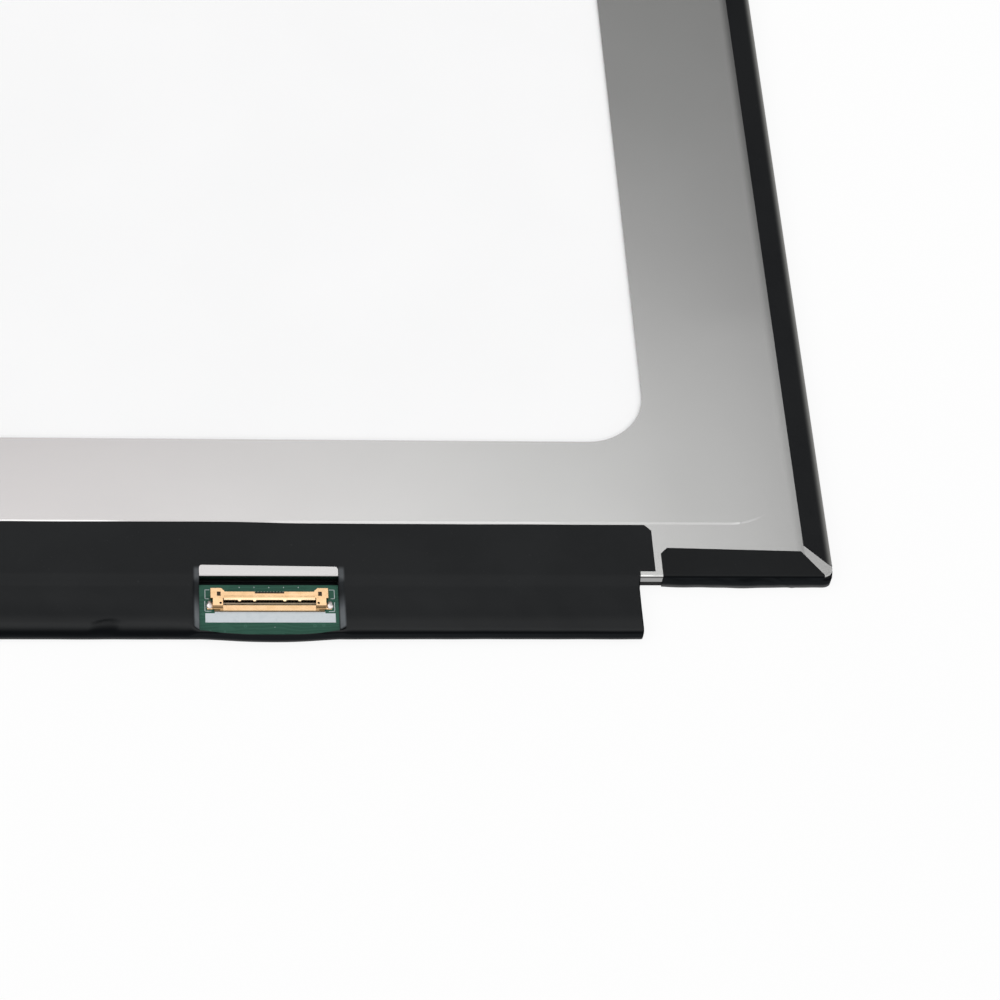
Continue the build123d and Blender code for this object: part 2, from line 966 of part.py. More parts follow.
def corner_tape_right():
    outside = bottom - 2 * tape_thickness
    end = right + 2 * tape_thickness
    tip = right - corner_tape_tip
    shoulder = right - corner_tape_shoulder
    start = corner_tape_left_x
    rear = [
        (start, outside),
        (tip, outside),
        (tip, bottom + mitre_tip),
        (shoulder, bottom + corner_tape_reach_outer),
        (start + corner_tape_chamfer, bottom + corner_tape_reach_inner),
        (start, bottom + corner_tape_reach_inner - corner_tape_chamfer),
    ]
    wall_high = bottom + edge_tape_front_reach
    wall = [(start, outside), (end, outside), (end, wall_high), (start, wall_high)]
    leaf_end = right - edge_tape_front_reach - tape_joint_gap
    leaf_high = cf_bottom + corner_tape_glass_overlap
    leaf = [(start, outside), (leaf_end, outside), (leaf_end, leaf_high), (start, leaf_high)]
    return taped(rear, [wall, leaf])


def corner_tape_left():
    return mirror(corner_tape_right(), Plane.YZ)


nodes = [
    front_polariser,
    colour_filter_glass,
    tft_glass,
    rear_polariser,
    rim_tape,
    mould_frame,
    upper_prism_film,
    lower_prism_film,
    diffuser_film,
    light_guide_plate,
    reflector_sheet,
    led_flex,
    led_packages,
    rear_cover,
    source_driver_chips,
    panel_flexes,
    driver_board,
    timing_controller,
    power_converter,
    backlight_driver,
    power_inductors,
    board_passives,
    led_flex_socket,
    connector_housing,
    connector_shell,
    connector_contacts,
    connector_solder,
    board_cover_tape,
    socket_window_tape,
    edge_tape_right,
    edge_tape_left,
    edge_tape_top,
    corner_tape_right,
    corner_tape_left,
]

os.makedirs("parts", exist_ok=True)
for build in nodes:
    export_step(build(), os.path.join("parts", build.__name__ + ".step"))
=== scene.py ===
import math
import bmesh
import bpy
from mathutils import Matrix, Vector


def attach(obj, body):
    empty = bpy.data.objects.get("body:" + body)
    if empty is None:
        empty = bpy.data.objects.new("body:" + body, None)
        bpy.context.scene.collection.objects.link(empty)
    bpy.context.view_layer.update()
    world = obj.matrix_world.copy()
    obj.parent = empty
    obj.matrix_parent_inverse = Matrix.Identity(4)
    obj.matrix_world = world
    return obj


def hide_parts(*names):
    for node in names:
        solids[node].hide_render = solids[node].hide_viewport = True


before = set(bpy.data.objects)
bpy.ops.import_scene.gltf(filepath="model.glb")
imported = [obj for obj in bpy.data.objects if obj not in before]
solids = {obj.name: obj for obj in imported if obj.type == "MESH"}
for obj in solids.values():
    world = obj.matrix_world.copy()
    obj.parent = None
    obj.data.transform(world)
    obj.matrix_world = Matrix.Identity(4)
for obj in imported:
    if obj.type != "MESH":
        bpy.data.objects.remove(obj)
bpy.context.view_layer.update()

scene = bpy.context.scene
scene.view_settings.view_transform = "Standard"
mm = 0.001

module = {  # heights and edges of the panel that the pieces here sit on, in mm
    "right": 175.23,
    "bottom": -97.36,
    "rimRear": 2.80,
    "boardRear": 1.25,
    "boardTop": -98.16,
    "socketX": 83.03,
    "socketRear": -99.36,
}
looseSpot = {  # the board tape's film stands off by its lip, left of the socket, in mm
    "middle": (56.7, -106.9),
    "half": (2.6, 1.65),
    "lean": 0.7,
    "height": 0.40,
    "dark": (0.15, 0.85),  # shares of the way out between which the painted shade on the spot fades
    "darkest": 0.85,
}
print("frame loaded:", len(solids), "solids")


class Wire:  # a node's output; arithmetic on it adds Math nodes
    def __init__(self, sheet, socket):
        self.sheet = sheet
        self.socket = socket

    def math(self, operation, *values):
        return self.sheet.add("ShaderNodeMath", {"operation": operation}, dict(enumerate(values)))

    def __add__(self, other):
        return self.math("ADD", self, other)

    def __sub__(self, other):
        return self.math("SUBTRACT", self, other)

    def __rsub__(self, other):
        return self.math("SUBTRACT", other, self)

    def __mul__(self, other):
        return self.math("MULTIPLY", self, other)

    def __truediv__(self, other):
        return self.math("DIVIDE", self, other)

    def __mod__(self, other):
        return self.math("FLOORED_MODULO", self, other)

    def __gt__(self, other):
        return self.math("GREATER_THAN", self, other)

    def __lt__(self, other):
        return self.math("LESS_THAN", self, other)

    def __abs__(self):
        return self.math("ABSOLUTE", self)

    __radd__ = __add__
    __rmul__ = __mul__

    def atLeast(self, other):
        return self.math("MAXIMUM", self, other)

    def atMost(self, other):
        return self.math("MINIMUM", self, other)

    def ramp(self, low, high, start=0.0, end=1.0):  # smooth step from start to end
        settings = {"interpolation_type": "SMOOTHSTEP", "clamp": True}
        return self.sheet.add("ShaderNodeMapRange", settings, {0: self, 1: low, 2: high, 3: start, 4: end})

    def part(self, name):  # another output of the same node
        return Wire(self.sheet, self.socket.node.outputs[name])


class Sheet:  # a node tree that is filled by one method
    def __init__(self, tree):
        self.tree = tree
        tree.nodes.clear()

    def add(self, kind, settings=None, values=None, out=0):
        node = self.tree.nodes.new(kind)
        for key, value in (settings or {}).items():
            setattr(node, key, value)
        for key, value in (values or {}).items():
            if isinstance(value, Wire):
                self.tree.links.new(value.socket, node.inputs[key])
            else:
                node.inputs[key].default_value = value
        return Wire(self, node.outputs[out]) if node.outputs else None

    def blend(self, factor, first, second):
        return self.add("ShaderNodeMix", {"data_type": "RGBA"}, {0: factor, 6: first, 7: second}, out=2)

    def place(self, stretch=(1, 1, 1)):  # the piece's own coordinates in mm
        spot = self.add("ShaderNodeTexCoord").part("Object")
        scale = tuple(1000 * s for s in stretch)
        return self.add("ShaderNodeMapping", {}, {"Vector": spot, "Scale": scale})

    def axes(self, vector):
        split = self.add("ShaderNodeSeparateXYZ", {}, {0: vector})
        return split, split.part("Y"), split.part("Z")

    def noise(self, vector, size, detail=2.0, rough=0.5):  # size is one blotch in mm
        values = {"Vector": vector, "Scale": 1 / size, "Detail": detail, "Roughness": rough}
        return self.add("ShaderNodeTexNoise", {}, values)

    def bump(self, height, depth, under=None):  # depth in mm
        values = {"Strength": 1.0, "Distance": depth * mm, "Height": height}
        if under is not None:
            values["Normal"] = under
        return self.add("ShaderNodeBump", {}, values)


def tone(r, g, b):
    return (r, g, b, 1.0)


def newFinish(name):
    material = bpy.data.materials.new(name)
    material.use_nodes = True
    return material, Sheet(material.node_tree)


def surface(sheet, **sockets):  # names such as baseColor become the shader's sockets
    names = {
        "baseColor": "Base Color",
        "roughness": "Roughness",
        "metallic": "Metallic",
        "normal": "Normal",
        "specular": "Specular IOR Level",
        "coat": "Coat Weight",
        "coatRoughness": "Coat Roughness",
    }
    return sheet.add("ShaderNodeBsdfPrincipled", {}, {names[k]: v for k, v in sockets.items()})


def closeFinish(sheet, **sockets):
    sheet.add("ShaderNodeOutputMaterial", {}, {"Surface": surface(sheet, **sockets)})


def dressNode(name, material):
    node = solids[name]
    node.data.materials.clear()
    node.data.materials.append(material)


def newPiece(name, mesh, material, stands=()):
    piece = bpy.data.objects.new(name, mesh)
    scene.collection.objects.link(piece)
    mesh.materials.clear()
    mesh.materials.append(material)
    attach(piece, "root")
    if stands:
        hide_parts(*stands)


def settled(name, mesh, build):  # the plain mesh that the modifiers added by build give
    holder = bpy.data.objects.new(name, mesh)
    scene.collection.objects.link(holder)
    build(holder)
    graph = bpy.context.evaluated_depsgraph_get()
    plain = bpy.data.meshes.new_from_object(holder.evaluated_get(graph), depsgraph=graph)
    holder.modifiers.clear()
    bpy.data.objects.remove(holder)
    plain.name = name
    return plain


def softShaded(mesh, degrees):
    mesh.shade_smooth()
    mesh.set_sharp_from_angle(angle=math.radians(degrees))
    return mesh


def smoothStep(value, low, high):
    t = min(max((value - low) / (high - low), 0.0), 1.0)
    return t * t * (3 - 2 * t)


def fromSpot(x, y, spot):  # 0 in the middle of the loose spot, 1 on its rim; for numbers and for wires
    along, up = x - spot["middle"][0], y - spot["middle"][1]
    across = (along - up * spot["lean"]) / spot["half"][0]
    up = up / spot["half"][1]
    return across * across + up * up


cameraSettings = {  # solved from the panel's straight edges in the photograph
    "place": (54.098, -380.886, 439.638),
    "right": (0.99203, -0.06673, 0.10689),
    "up": (-0.00514, 0.82608, 0.56353),
    "back": (-0.12591, -0.55959, 0.81915),
    "lens": 117.1,
}


def makeCamera(settings):
    lens = bpy.data.cameras.new("photoLens")
    lens.sensor_width = 36.0
    lens.lens = settings["lens"]
    lens.clip_start = 0.01
    lens.clip_end = 100.0
    camera = bpy.data.objects.new("photoCamera", lens)
    scene.collection.objects.link(camera)
    turn = Matrix((settings["right"], settings["up"], settings["back"])).transposed()
    camera.matrix_world = Matrix.Translation(Vector(settings["place"]) * mm) @ turn.to_4x4()
    scene.camera = camera


makeCamera(cameraSettings)
print("camera placed")


tapeLook = {
    "dark": tone(0.0068, 0.0077, 0.0086),
    "light": tone(0.0092, 0.0102, 0.0111),
    "dust": tone(0.05, 0.05, 0.05),
    "wall": tone(0.0125, 0.0140, 0.0155),  # the film's tone on the folded walls, where it is dull
    "bend": tone(0.0048, 0.0054, 0.0062),  # painted shade over the folds and on the loose spot
    "hem": tone(0.105, 0.106, 0.107),  # foot of the walls, lit from the table
    "hemZ": (0.30, 1.35),
    "lipSheen": tone(0.0150, 0.0160, 0.0168),  # painted sheen along the board tape's lip
    "lipSheenY": (-106.1, -104.2),
    "gloss": 0.16,
    "rough": 0.30,
    "dullRough": 0.7,
    "foldShade": (0.05, 0.55, 0.88, 0.985),  # upright shares of the normal where the painted shade over a fold comes and goes
    "dullBelow": 0.55,  # upright share under which the film is dull
    "satinAbove": 1.0,
    "fall": 2.0,  # how fast the gloss goes where the film tilts
}
cornerLook = dict(tapeLook, dark=tone(0.0046, 0.0053, 0.0060), light=tone(0.0062, 0.0070, 0.0078))
edgeLook = dict(
    tapeLook,
    dark=tone(0.0056, 0.0063, 0.0072),
    light=tone(0.0068, 0.0075, 0.0084),
    gloss=0.14,
    rough=0.20,
    dullBelow=0.02,
    satinAbove=0.20,
    fall=1.0,
)
skirtSheen = {  # painted sheen where the film slopes down beside the socket, in mm from the socket's middle
    "tone": tone(0.165, 0.178, 0.190),
    "inner": (11.0, 11.35),
    "outer": (11.75, 12.2),
    "top": (-96.4, -95.4),
    "upper": (-98.9, -97.4),  # the upper pale stretch fades in between these
    "upperShare": 0.42,
    "lower": (-104.6, -99.8),
    "least": 0.14,
    "low": (-106.9, -106.3),
}
foldHighlight = {  # painted highlight along the outer folds of the edge tapes
    "tone": tone(0.290, 0.290, 0.278),
    "from": (173.85, 106.90),
    "to": (175.50, 108.55),
    "low": 2.2,
    "high": 2.6,
}


def skirtSheenMask(x, y, peel, film):
    away = abs(x - module["socketX"])
    band = away.ramp(*film["inner"]) * away.ramp(*film["outer"], 1.0, 0.0)
    lower = y.ramp(*film["lower"], 1.0, film["least"])
    upper = y.ramp(*film["upper"], 0.0, film["upperShare"])
    along = lower.atLeast(upper) * y.ramp(*film["low"]) * y.ramp(*film["top"], 1.0, 0.0)
    return band * along * (0.75 + peel * 0.5)


def foldHighlightMask(x, y, z, film):
    aside = abs(x).ramp(film["from"][0], film["to"][0])
    above = y.ramp(film["from"][1], film["to"][1])
    edge = aside.atLeast(above)
    return edge * edge * z.ramp(film["low"], film["high"])


def tapeFinish(name, look, pressed=False, folded=False):
    material, sheet = newFinish(name)
    spot = sheet.place()
    x, y, z = sheet.axes(spot)
    cloud = sheet.noise(spot, 14.0, 3.0)
    grain = sheet.noise(spot, 0.07, 2.0, 0.6)
    peel = sheet.noise(spot, 1.6, 2.0)
    lint = sheet.noise(spot, 0.35, 1.0).ramp(0.76, 0.80)
    upright = abs(sheet.axes(sheet.add("ShaderNodeTexCoord").part("Normal"))[2])
    begin, most, less, gone = look["foldShade"]
    # painted shade over the folds
    foldShade = upright.ramp(begin, most) * upright.ramp(less, gone, 1.0, 0.0)
    colour = sheet.blend(cloud.ramp(0.35, 0.65), look["dark"], look["light"])
    colour = sheet.blend(lint * 0.35, colour, look["dust"])
    # the dull walls' tone, with painted shade over the folds and painted light from the table at their
    # foot
    wallToneAndLight = sheet.blend(foldShade, look["wall"], look["bend"])
    hem = z.ramp(*look["hemZ"], 1.0, 0.0)
    wallToneAndLight = sheet.blend(hem * hem, wallToneAndLight, look["hem"])
    if pressed:
        # painted sheen along the lip
        lift = y.ramp(*look["lipSheenY"], 1.0, 0.0) * cloud.ramp(0.2, 0.7, 0.7, 1.0)
        colour = sheet.blend(lift, colour, look["lipSheen"])
        # painted shade on the loose spot
        blisterShade = fromSpot(x, y, looseSpot).ramp(*looseSpot["dark"], looseSpot["darkest"], 0.0)
        colour = sheet.blend(blisterShade, colour, look["bend"])
        # painted sheen where the film slopes down beside the socket
        mask = skirtSheenMask(x, y, peel, skirtSheen)
        colour = sheet.blend(mask, colour, skirtSheen["tone"])
        wallToneAndLight = sheet.blend(mask, wallToneAndLight, skirtSheen["tone"])
    if folded:
        # painted highlight along the outer folds
        colour = sheet.blend(foldHighlightMask(x, y, z, foldHighlight), colour, foldHighlight["tone"])
    rough = look["rough"] + cloud * 0.12 + grain * 0.05
    skin = sheet.bump(grain, 0.003)
    skin = sheet.bump(peel, 0.010, skin)
    satin = surface(sheet, baseColor=colour, roughness=rough, specular=look["gloss"], normal=skin)
    dull = surface(sheet, baseColor=wallToneAndLight, roughness=look["dullRough"], specular=0.0, normal=skin)
    flat = upright.ramp(look["dullBelow"], look["satinAbove"])
    flat = flat.math("POWER", flat, look["fall"])
    both = sheet.add("ShaderNodeMixShader", {}, {0: flat, 1: dull, 2: satin})
    sheet.add("ShaderNodeOutputMaterial", {}, {"Surface": both})
    return material


steelLook = {
    "cool": tone(0.515, 0.515, 0.508),
    "warm": tone(0.540, 0.518, 0.517),
    "coolX": (20.0, 150.0),
    "worn": tone(0.45, 0.45, 0.445),
    "wornShare": 0.10,
    "wall": tone(0.34, 0.34, 0.338),  # the upright edge, duller than the flat sheet
    "wallUp": (0.05, 0.30),  # names with Up hold upright shares of the normal
    "wallWide": 0.40,
    "shadeLine": tone(0.06, 0.06, 0.06),  # painted shade, a dark line under the bend
    "shadeLineZ": (2.30, 2.38, 2.58, 2.68),
    "shadeLineShare": 0.9,
    "wallToneAndLight": tone(0.90, 0.90, 0.89),  # painted highlight, a bright line on the bare bend beside the board tape
    "highlightX": (141.0, 144.6, 145.8),  # bare from here, brightest up to the second, plainer past the third
    "highlightShare": (0.85, 0.25),
    "highlightUp": (0.70, 0.84, 0.985, 0.999),
    "stepUp": (0.55, 0.75),  # the slopes of the pressed step and all that is flatter
    "rimWide": 1.0,
    "glint": tone(0.98, 0.98, 0.975),  # the pressed step's lower slope, along the board tape
    "glintX": (55.0, 62.0, 82.0, 85.0, 126.0, 134.0),  # bright, hidden by the tape, fainter, then gone
    "glintMore": 0.62,
    "glintLess": 0.20,
    "straight": (0.25, 0.50),  # share of the normal towards the board, on the lower slope
    "arc": (0.03, 0.12, 0.50),  # sideways shares, where the line round the step's corner comes and fades
    "arcMost": 0.25,
    "calmX": (143.0, 158.0),  # painted shade dims the bare end of the line
    "calm": 0.50,
    "lit": tone(0.556, 0.556, 0.549),  # the lower right corner, a little paler
    "litX": (148.0, 166.0),
    "litY": (-50.0, -40.0),
    "shade": tone(0.02, 0.02, 0.02),  # the rim darkens towards the edge tapes
    "shadeX": (169.3, 171.0),
    "shadeTop": (102.4, 104.1),
    "shadeY": (-90.0, 20.0, 0.20, 0.55),  # weaker at the lower end
    "rough": 0.19,
}


def steelFinish(look):
    material, sheet = newFinish("rolledSteel")
    streak = sheet.noise(sheet.place((0.03, 1.0, 1.0)), 0.18, 3.0, 0.6)  # rolling marks along the width
    smudge = sheet.noise(sheet.place(), 45.0, 3.0, 0.55)
    grain = sheet.noise(sheet.place(), 0.09, 2.0)
    x, y, z = sheet.axes(sheet.place())
    normal = sheet.axes(sheet.add("ShaderNodeTexCoord").part("Normal"))
    across, along, upright = (abs(share) for share in normal)
    colour = sheet.blend(x.ramp(*look["coolX"]), look["warm"], look["cool"])
    colour = sheet.blend(x.ramp(*look["litX"]) * y.ramp(*look["litY"], 1.0, 0.0), colour, look["lit"])
    colour = sheet.blend(streak.ramp(0.35, 0.75) * look["wornShare"], colour, look["worn"])

    sloping = upright.ramp(*look["stepUp"])
    front = sloping * (y < 0) * (y > module["bottom"] + look["rimWide"])
    straight = along.ramp(*look["straight"]) * front
    begin, most, end = look["arc"]
    arc = across.ramp(begin, most) * across.ramp(most, end, look["arcMost"], 0.0) * front
    ends, hidden, again, less, fade, gone = look["glintX"]
    glint = x.ramp(again, less, 0.0, look["glintLess"]) * x.ramp(fade, gone, 1.0, 0.0)
    glint = glint + x.ramp(ends, hidden, look["glintMore"], 0.0)
    # painted shade dims the bare end of the step's line, in the wear streaks' tone
    colour = sheet.blend(x.ramp(*look["calmX"], 0.0, look["calm"]) * straight, colour, look["worn"])
    colour = sheet.blend((glint * straight).atLeast(arc), colour, look["glint"])

    shade = abs(x).ramp(*look["shadeX"]).atLeast(y.ramp(*look["shadeTop"]))
    shade = shade * (abs(x) < look["shadeX"][1]) * (y < look["shadeTop"][1]) * y.ramp(*look["shadeY"])
    colour = sheet.blend(shade, colour, look["shade"])

    lower = y < module["bottom"] + look["wallWide"]
    # painted shade line under the bend
    low, rise, fall, high = look["shadeLineZ"]
    shadeLine = z.ramp(low, rise) * z.ramp(fall, high, 1.0, 0.0) * lower
    # painted highlight on the bare bend beside the board tape
    low, rise, fall, high = look["highlightUp"]
    bend = upright.ramp(low, rise) * upright.ramp(fall, high, 1.0, 0.0) * lower
    bare, bright, plain = look["highlightX"]
    bend = bend * (abs(x) > bare) * abs(x).ramp(bright, plain, *look["highlightShare"])
    colour = sheet.blend(upright.ramp(*look["wallUp"], 1.0, 0.0), colour, look["wall"])
    colour = sheet.blend(shadeLine * look["shadeLineShare"], colour, look["shadeLine"])
    colour = sheet.blend(bend, colour, look["wallToneAndLight"])

    rough = look["rough"] + smudge * 0.06 + grain * 0.03 - 0.03
    facing = sheet.add("ShaderNodeNewGeometry").part("Normal")
    soft = across.ramp(begin, most) * sloping  # the step's sides are too gentle to catch the light
    level = sheet.add("ShaderNodeMix", {"data_type": "VECTOR"}, {0: soft, 4: facing, 5: (0, 0, 1)}, out=1)
    skin = sheet.bump(streak, 0.0008, level)
    skin = sheet.bump(grain, 0.0010, skin)
    closeFinish(sheet, baseColor=colour, roughness=rough, metallic=1.0, normal=skin)
    return material


reflectorLook = {"bright": tone(0.958, 0.957, 0.960), "dim": tone(0.945, 0.945, 0.947)}


def reflectorFinish(look):
    material, sheet = newFinish("whiteReflector")
    cloud = sheet.noise(sheet.place(), 30.0, 3.0)
    grain = sheet.noise(sheet.place(), 0.12, 2.0)
    colour = sheet.blend(cloud.ramp(0.3, 0.7), look["bright"], look["dim"])
    skin = sheet.bump(grain, 0.002)
    closeFinish(sheet, baseColor=colour, roughness=0.42 + grain * 0.1, specular=0.35, normal=skin)
    return material


boardLook = {
    "mask": tone(0.018, 0.078, 0.052),
    "copper": tone(0.026, 0.100, 0.068),
    "via": tone(0.045, 0.13, 0.095),
    "viaRing": (0.07, 0.16),
    "tracePitch": 0.62,
    "traceHalf": 0.11,
}


def boardFinish(look):
    material, sheet = newFinish("solderMask")
    y = sheet.axes(sheet.place())[1]
    sway = sheet.noise(sheet.place(), 6.0, 1.0) * 1.6
    pitch = look["tracePitch"]
    runs = abs((y + sway) % pitch - pitch / 2) < look["traceHalf"]  # traces along the board
    fill = sheet.noise(sheet.place((0.5, 1.0, 1.0)), 3.2, 1.0).ramp(0.50, 0.53)
    traces = (runs * (1 - fill)).atLeast(fill)
    dots = sheet.add("ShaderNodeTexVoronoi", {}, {"Vector": sheet.place((1, 1, 0)), "Scale": 0.55})
    vias = (dots > look["viaRing"][0]) * (dots < look["viaRing"][1])
    cloud = sheet.noise(sheet.place(), 9.0, 2.0)
    colour = sheet.blend(traces * 0.85, look["mask"], look["copper"])
    colour = sheet.blend(vias * 0.7, colour, look["via"])
    colour = sheet.blend(cloud * 0.25, colour, look["mask"])
    skin = sheet.bump(traces, 0.012)
    skin = sheet.bump(sheet.noise(sheet.place(), 0.3, 2.0), 0.003, skin)
    closeFinish(sheet, baseColor=colour, roughness=0.32 + cloud * 0.08, specular=0.2, normal=skin)
    return material


goldLook = {
    "pale": tone(0.78, 0.525, 0.305),
    "deep": tone(0.68, 0.435, 0.225),
    "shade": tone(0.36, 0.22, 0.10),
    "glint": tone(0.90, 0.70, 0.45),  # the bar's front edge, rolled bright
    "glintD": (1.88, 1.98, 2.50),  # comes between the first two and ends at the third
    "rough": 0.20,
    "creaseD": 1.50,  # bend line along the bar, from the socket's rear edge
    "creaseHalf": 7.25,
    "curlD": (3.05, 3.40),  # the latches darken where they curl down to the board
    "curlX": (7.35, 9.10),
}


def goldFinish(name, look, shaded):  # shaded is how far the whole piece lies in the dark
    material, sheet = newFinish(name)
    x, y = sheet.axes(sheet.place())[:2]
    aside, down = abs(x - module["socketX"]), module["socketRear"] - y
    drawn = sheet.noise(sheet.place((0.2, 1.0, 1.0)), 0.10, 3.0, 0.6)  # press marks along the sheet
    cloud = sheet.noise(sheet.place(), 1.4, 2.0)
    crease = abs(down - drawn * 0.03 - look["creaseD"]).ramp(0.015, 0.055, 1.0, 0.0)
    crease = crease * (aside < look["creaseHalf"]) * cloud.ramp(0.30, 0.60, 0.25, 0.7)
    curl = (aside > look["curlX"][0]) * (aside < look["curlX"][1]) * down.ramp(*look["curlD"])
    begin, full, end = look["glintD"]
    glint = down.ramp(begin, full) * (down < end) * (aside < look["creaseHalf"])
    colour = sheet.blend(cloud.ramp(0.35, 0.7) * 0.6, look["pale"], look["deep"])
    colour = sheet.blend(glint, colour, look["glint"])
    colour = sheet.blend(crease.atLeast(curl * 0.85).atLeast(shaded), colour, look["shade"])
    rough = look["rough"] + drawn * 0.07
    skin = sheet.bump(drawn, 0.002)
    skin = sheet.bump(1 - crease, 0.02, skin)
    closeFinish(sheet, baseColor=colour, roughness=rough, metallic=1.0, normal=skin)
    return material


mouldingLook = {  # d from the socket's rear edge, in mm
    # inside: painted shade, the housing in and behind the slot kept near black
    "inside": tone(0.012, 0.010, 0.008),
    "sill": tone(0.42, 0.34, 0.25),
    "groove": tone(0.17, 0.112, 0.05),
    "sillD": (2.32, 2.36),
    "grooveD": (2.61, 2.65),
}


def mouldingFinish(look):
    material, sheet = newFinish("socketPlastic")
    down = module["socketRear"] - sheet.axes(sheet.place())[1]
    cloud = sheet.noise(sheet.place(), 0.8, 3.0)
    fine = sheet.noise(sheet.place(), 0.06, 2.0)
    # painted shade keeps the housing near black up to the sill
    colour = sheet.blend(down.ramp(*look["sillD"]), look["inside"], look["sill"])
    colour = sheet.blend(down.ramp(*look["grooveD"]), colour, look["groove"])
    colour = sheet.blend(cloud * 0.3, colour, look["groove"])
    skin = sheet.bump(fine, 0.004)
    closeFinish(sheet, baseColor=colour, roughness=0.45 + fine * 0.12, specular=0.25, normal=skin)
    return material


solderLook = {"bright": tone(0.86, 0.81, 0.79), "dull": tone(0.72, 0.66, 0.64)}


def solderFinish(look):
    material, sheet = newFinish("tinSolder")
    cloud = sheet.noise(sheet.place(), 0.35, 3.0, 0.6)
    colour = sheet.blend(cloud.ramp(0.35, 0.7), look["bright"], look["dull"])
    skin = sheet.bump(cloud, 0.02)
    closeFinish(sheet, baseColor=colour, roughness=0.26 + cloud * 0.2, metallic=1.0, normal=skin)
    return material


printLook = {"ink": tone(0.60, 0.645, 0.675), "thin": tone(0.55, 0.60, 0.63)}


def printFinish(look):
    material, sheet = newFinish("whitePrint")
    worn = sheet.noise(sheet.place(), 0.5, 3.0, 0.6)
    colour = sheet.blend(worn.ramp(0.45, 0.75), look["ink"], look["thin"])
    skin = sheet.bump(sheet.noise(sheet.place(), 0.05, 2.0), 0.004)
    closeFinish(sheet, baseColor=colour, roughness=0.5 + worn * 0.1, specular=0.3, normal=skin)
    return material


def speckleFinish(name, first, second, size, rough, depth, **fixed):  # mottled mouldings, films and chips
    material, sheet = newFinish(name)
    broad = sheet.noise(sheet.place(), size, 3.0)
    fine = sheet.noise(sheet.place(), size * 0.08, 2.0)
    colour = sheet.blend(broad.ramp(0.3, 0.7), first, second)
    skin = sheet.bump(fine, depth)
    closeFinish(sheet, baseColor=colour, roughness=rough + fine * 0.12, normal=skin, **fixed)
    return material


def stripeFinish(name, base, line, pitch, share, axis, rough, depth):  # lines at a pitch
    material, sheet = newFinish(name)
    along = sheet.axes(sheet.place())[axis]
    lines = abs(along % pitch - pitch / 2) < pitch * share / 2
    cloud = sheet.noise(sheet.place(), 4.0, 2.0)
    colour = sheet.blend(lines * (0.7 + cloud * 0.3), base, line)
    skin = sheet.bump(lines, depth)
    closeFinish(sheet, baseColor=colour, roughness=rough + cloud * 0.1, normal=skin)
    return material


passiveLook = {
    "pitch": 6.5,
    "half": 0.5,
    "cap": 0.24,
    "body": tone(0.40, 0.31, 0.21),
    "tin": tone(0.70, 0.69, 0.67),
    "grime": tone(0.25, 0.2, 0.15),
}


def passiveFinish(look):
    material, sheet = newFinish("ceramicChips")
    x = sheet.axes(sheet.place())[0]
    fromMiddle = abs((x + look["pitch"] / 2) % look["pitch"] - look["pitch"] / 2)
    caps = fromMiddle > look["half"] - look["cap"]
    cloud = sheet.noise(sheet.place(), 0.3, 2.0)
    colour = sheet.blend(caps, look["body"], look["tin"])
    colour = sheet.blend(cloud * 0.2, colour, look["grime"])
    closeFinish(
        sheet,
        baseColor=colour,
        metallic=caps,
        roughness=0.45 - caps * 0.15 + cloud * 0.1,
        normal=sheet.bump(cloud, 0.004),
    )
    return material


satinTape = tapeFinish("satinTape", tapeLook)
boardFilm = tapeFinish("boardFilm", tapeLook, pressed=True)
edgeFilm = tapeFinish("edgeFilm", edgeLook, folded=True)
cornerFilm = tapeFinish("cornerFilm", cornerLook)
rolledSteel = steelFinish(steelLook)
whiteReflector = reflectorFinish(reflectorLook)
solderMask = boardFinish(boardLook)
goldFlash = goldFinish("goldFlash", goldLook, 0.0)
slotLook = dict(goldLook, shade=tone(0.05, 0.03, 0.014))  # contacts deep in the slot
shadedGold = goldFinish("shadedGold", slotLook, 0.97)
tinSolder = solderFinish(solderLook)
whitePrint = printFinish(printLook)
blackMoulding = speckleFinish(
    "blackMoulding", tone(0.010, 0.010, 0.011), tone(0.015, 0.015, 0.015), 3.0, 0.55, 0.008, specular=0.12
)
socketPlastic = mouldingFinish(mouldingLook)
screenFilm = speckleFinish(
    "screenFilm",
    tone(0.012, 0.012, 0.014),
    tone(0.015, 0.015, 0.017),
    20.0,
    0.30,
    0.003,
    coat=0.2,
    coatRoughness=0.3,
)
cellGlass = speckleFinish(
    "cellGlass", tone(0.016, 0.022, 0.021), tone(0.020, 0.027, 0.026), 12.0, 0.05, 0.0005, specular=0.25
)
innerPolariser = speckleFinish(
    "innerPolariser", tone(0.05, 0.05, 0.06), tone(0.06, 0.06, 0.07), 10.0, 0.3, 0.002
)
chipEpoxy = speckleFinish(
    "chipEpoxy", tone(0.016, 0.016, 0.017), tone(0.026, 0.026, 0.027), 0.9, 0.5, 0.006
)
greyFerrite = speckleFinish(
    "greyFerrite", tone(0.07, 0.07, 0.07), tone(0.11, 0.11, 0.11), 0.6, 0.5, 0.01
)
ivoryMoulding = speckleFinish(
    "ivoryMoulding", tone(0.70, 0.66, 0.55), tone(0.76, 0.72, 0.62), 1.5, 0.42, 0.004
)
clearGuide = speckleFinish("clearGuide", tone(0.84, 0.89, 0.89), tone(0.80, 0.86, 0.86), 6.0, 0.1, 0.002)
phosphor = speckleFinish("phosphor", tone(0.86, 0.80, 0.42), tone(0.80, 0.70, 0.30), 1.2, 0.4, 0.004)
prismFilm = stripeFinish(
    "prismFilm", tone(0.80, 0.83, 0.84), tone(0.88, 0.90, 0.91), 0.05, 0.5, 1, 0.25, 0.01
)
diffuserFilm = speckleFinish(
    "diffuserFilm", tone(0.86, 0.87, 0.88), tone(0.82, 0.83, 0.84), 2.0, 0.5, 0.006
)
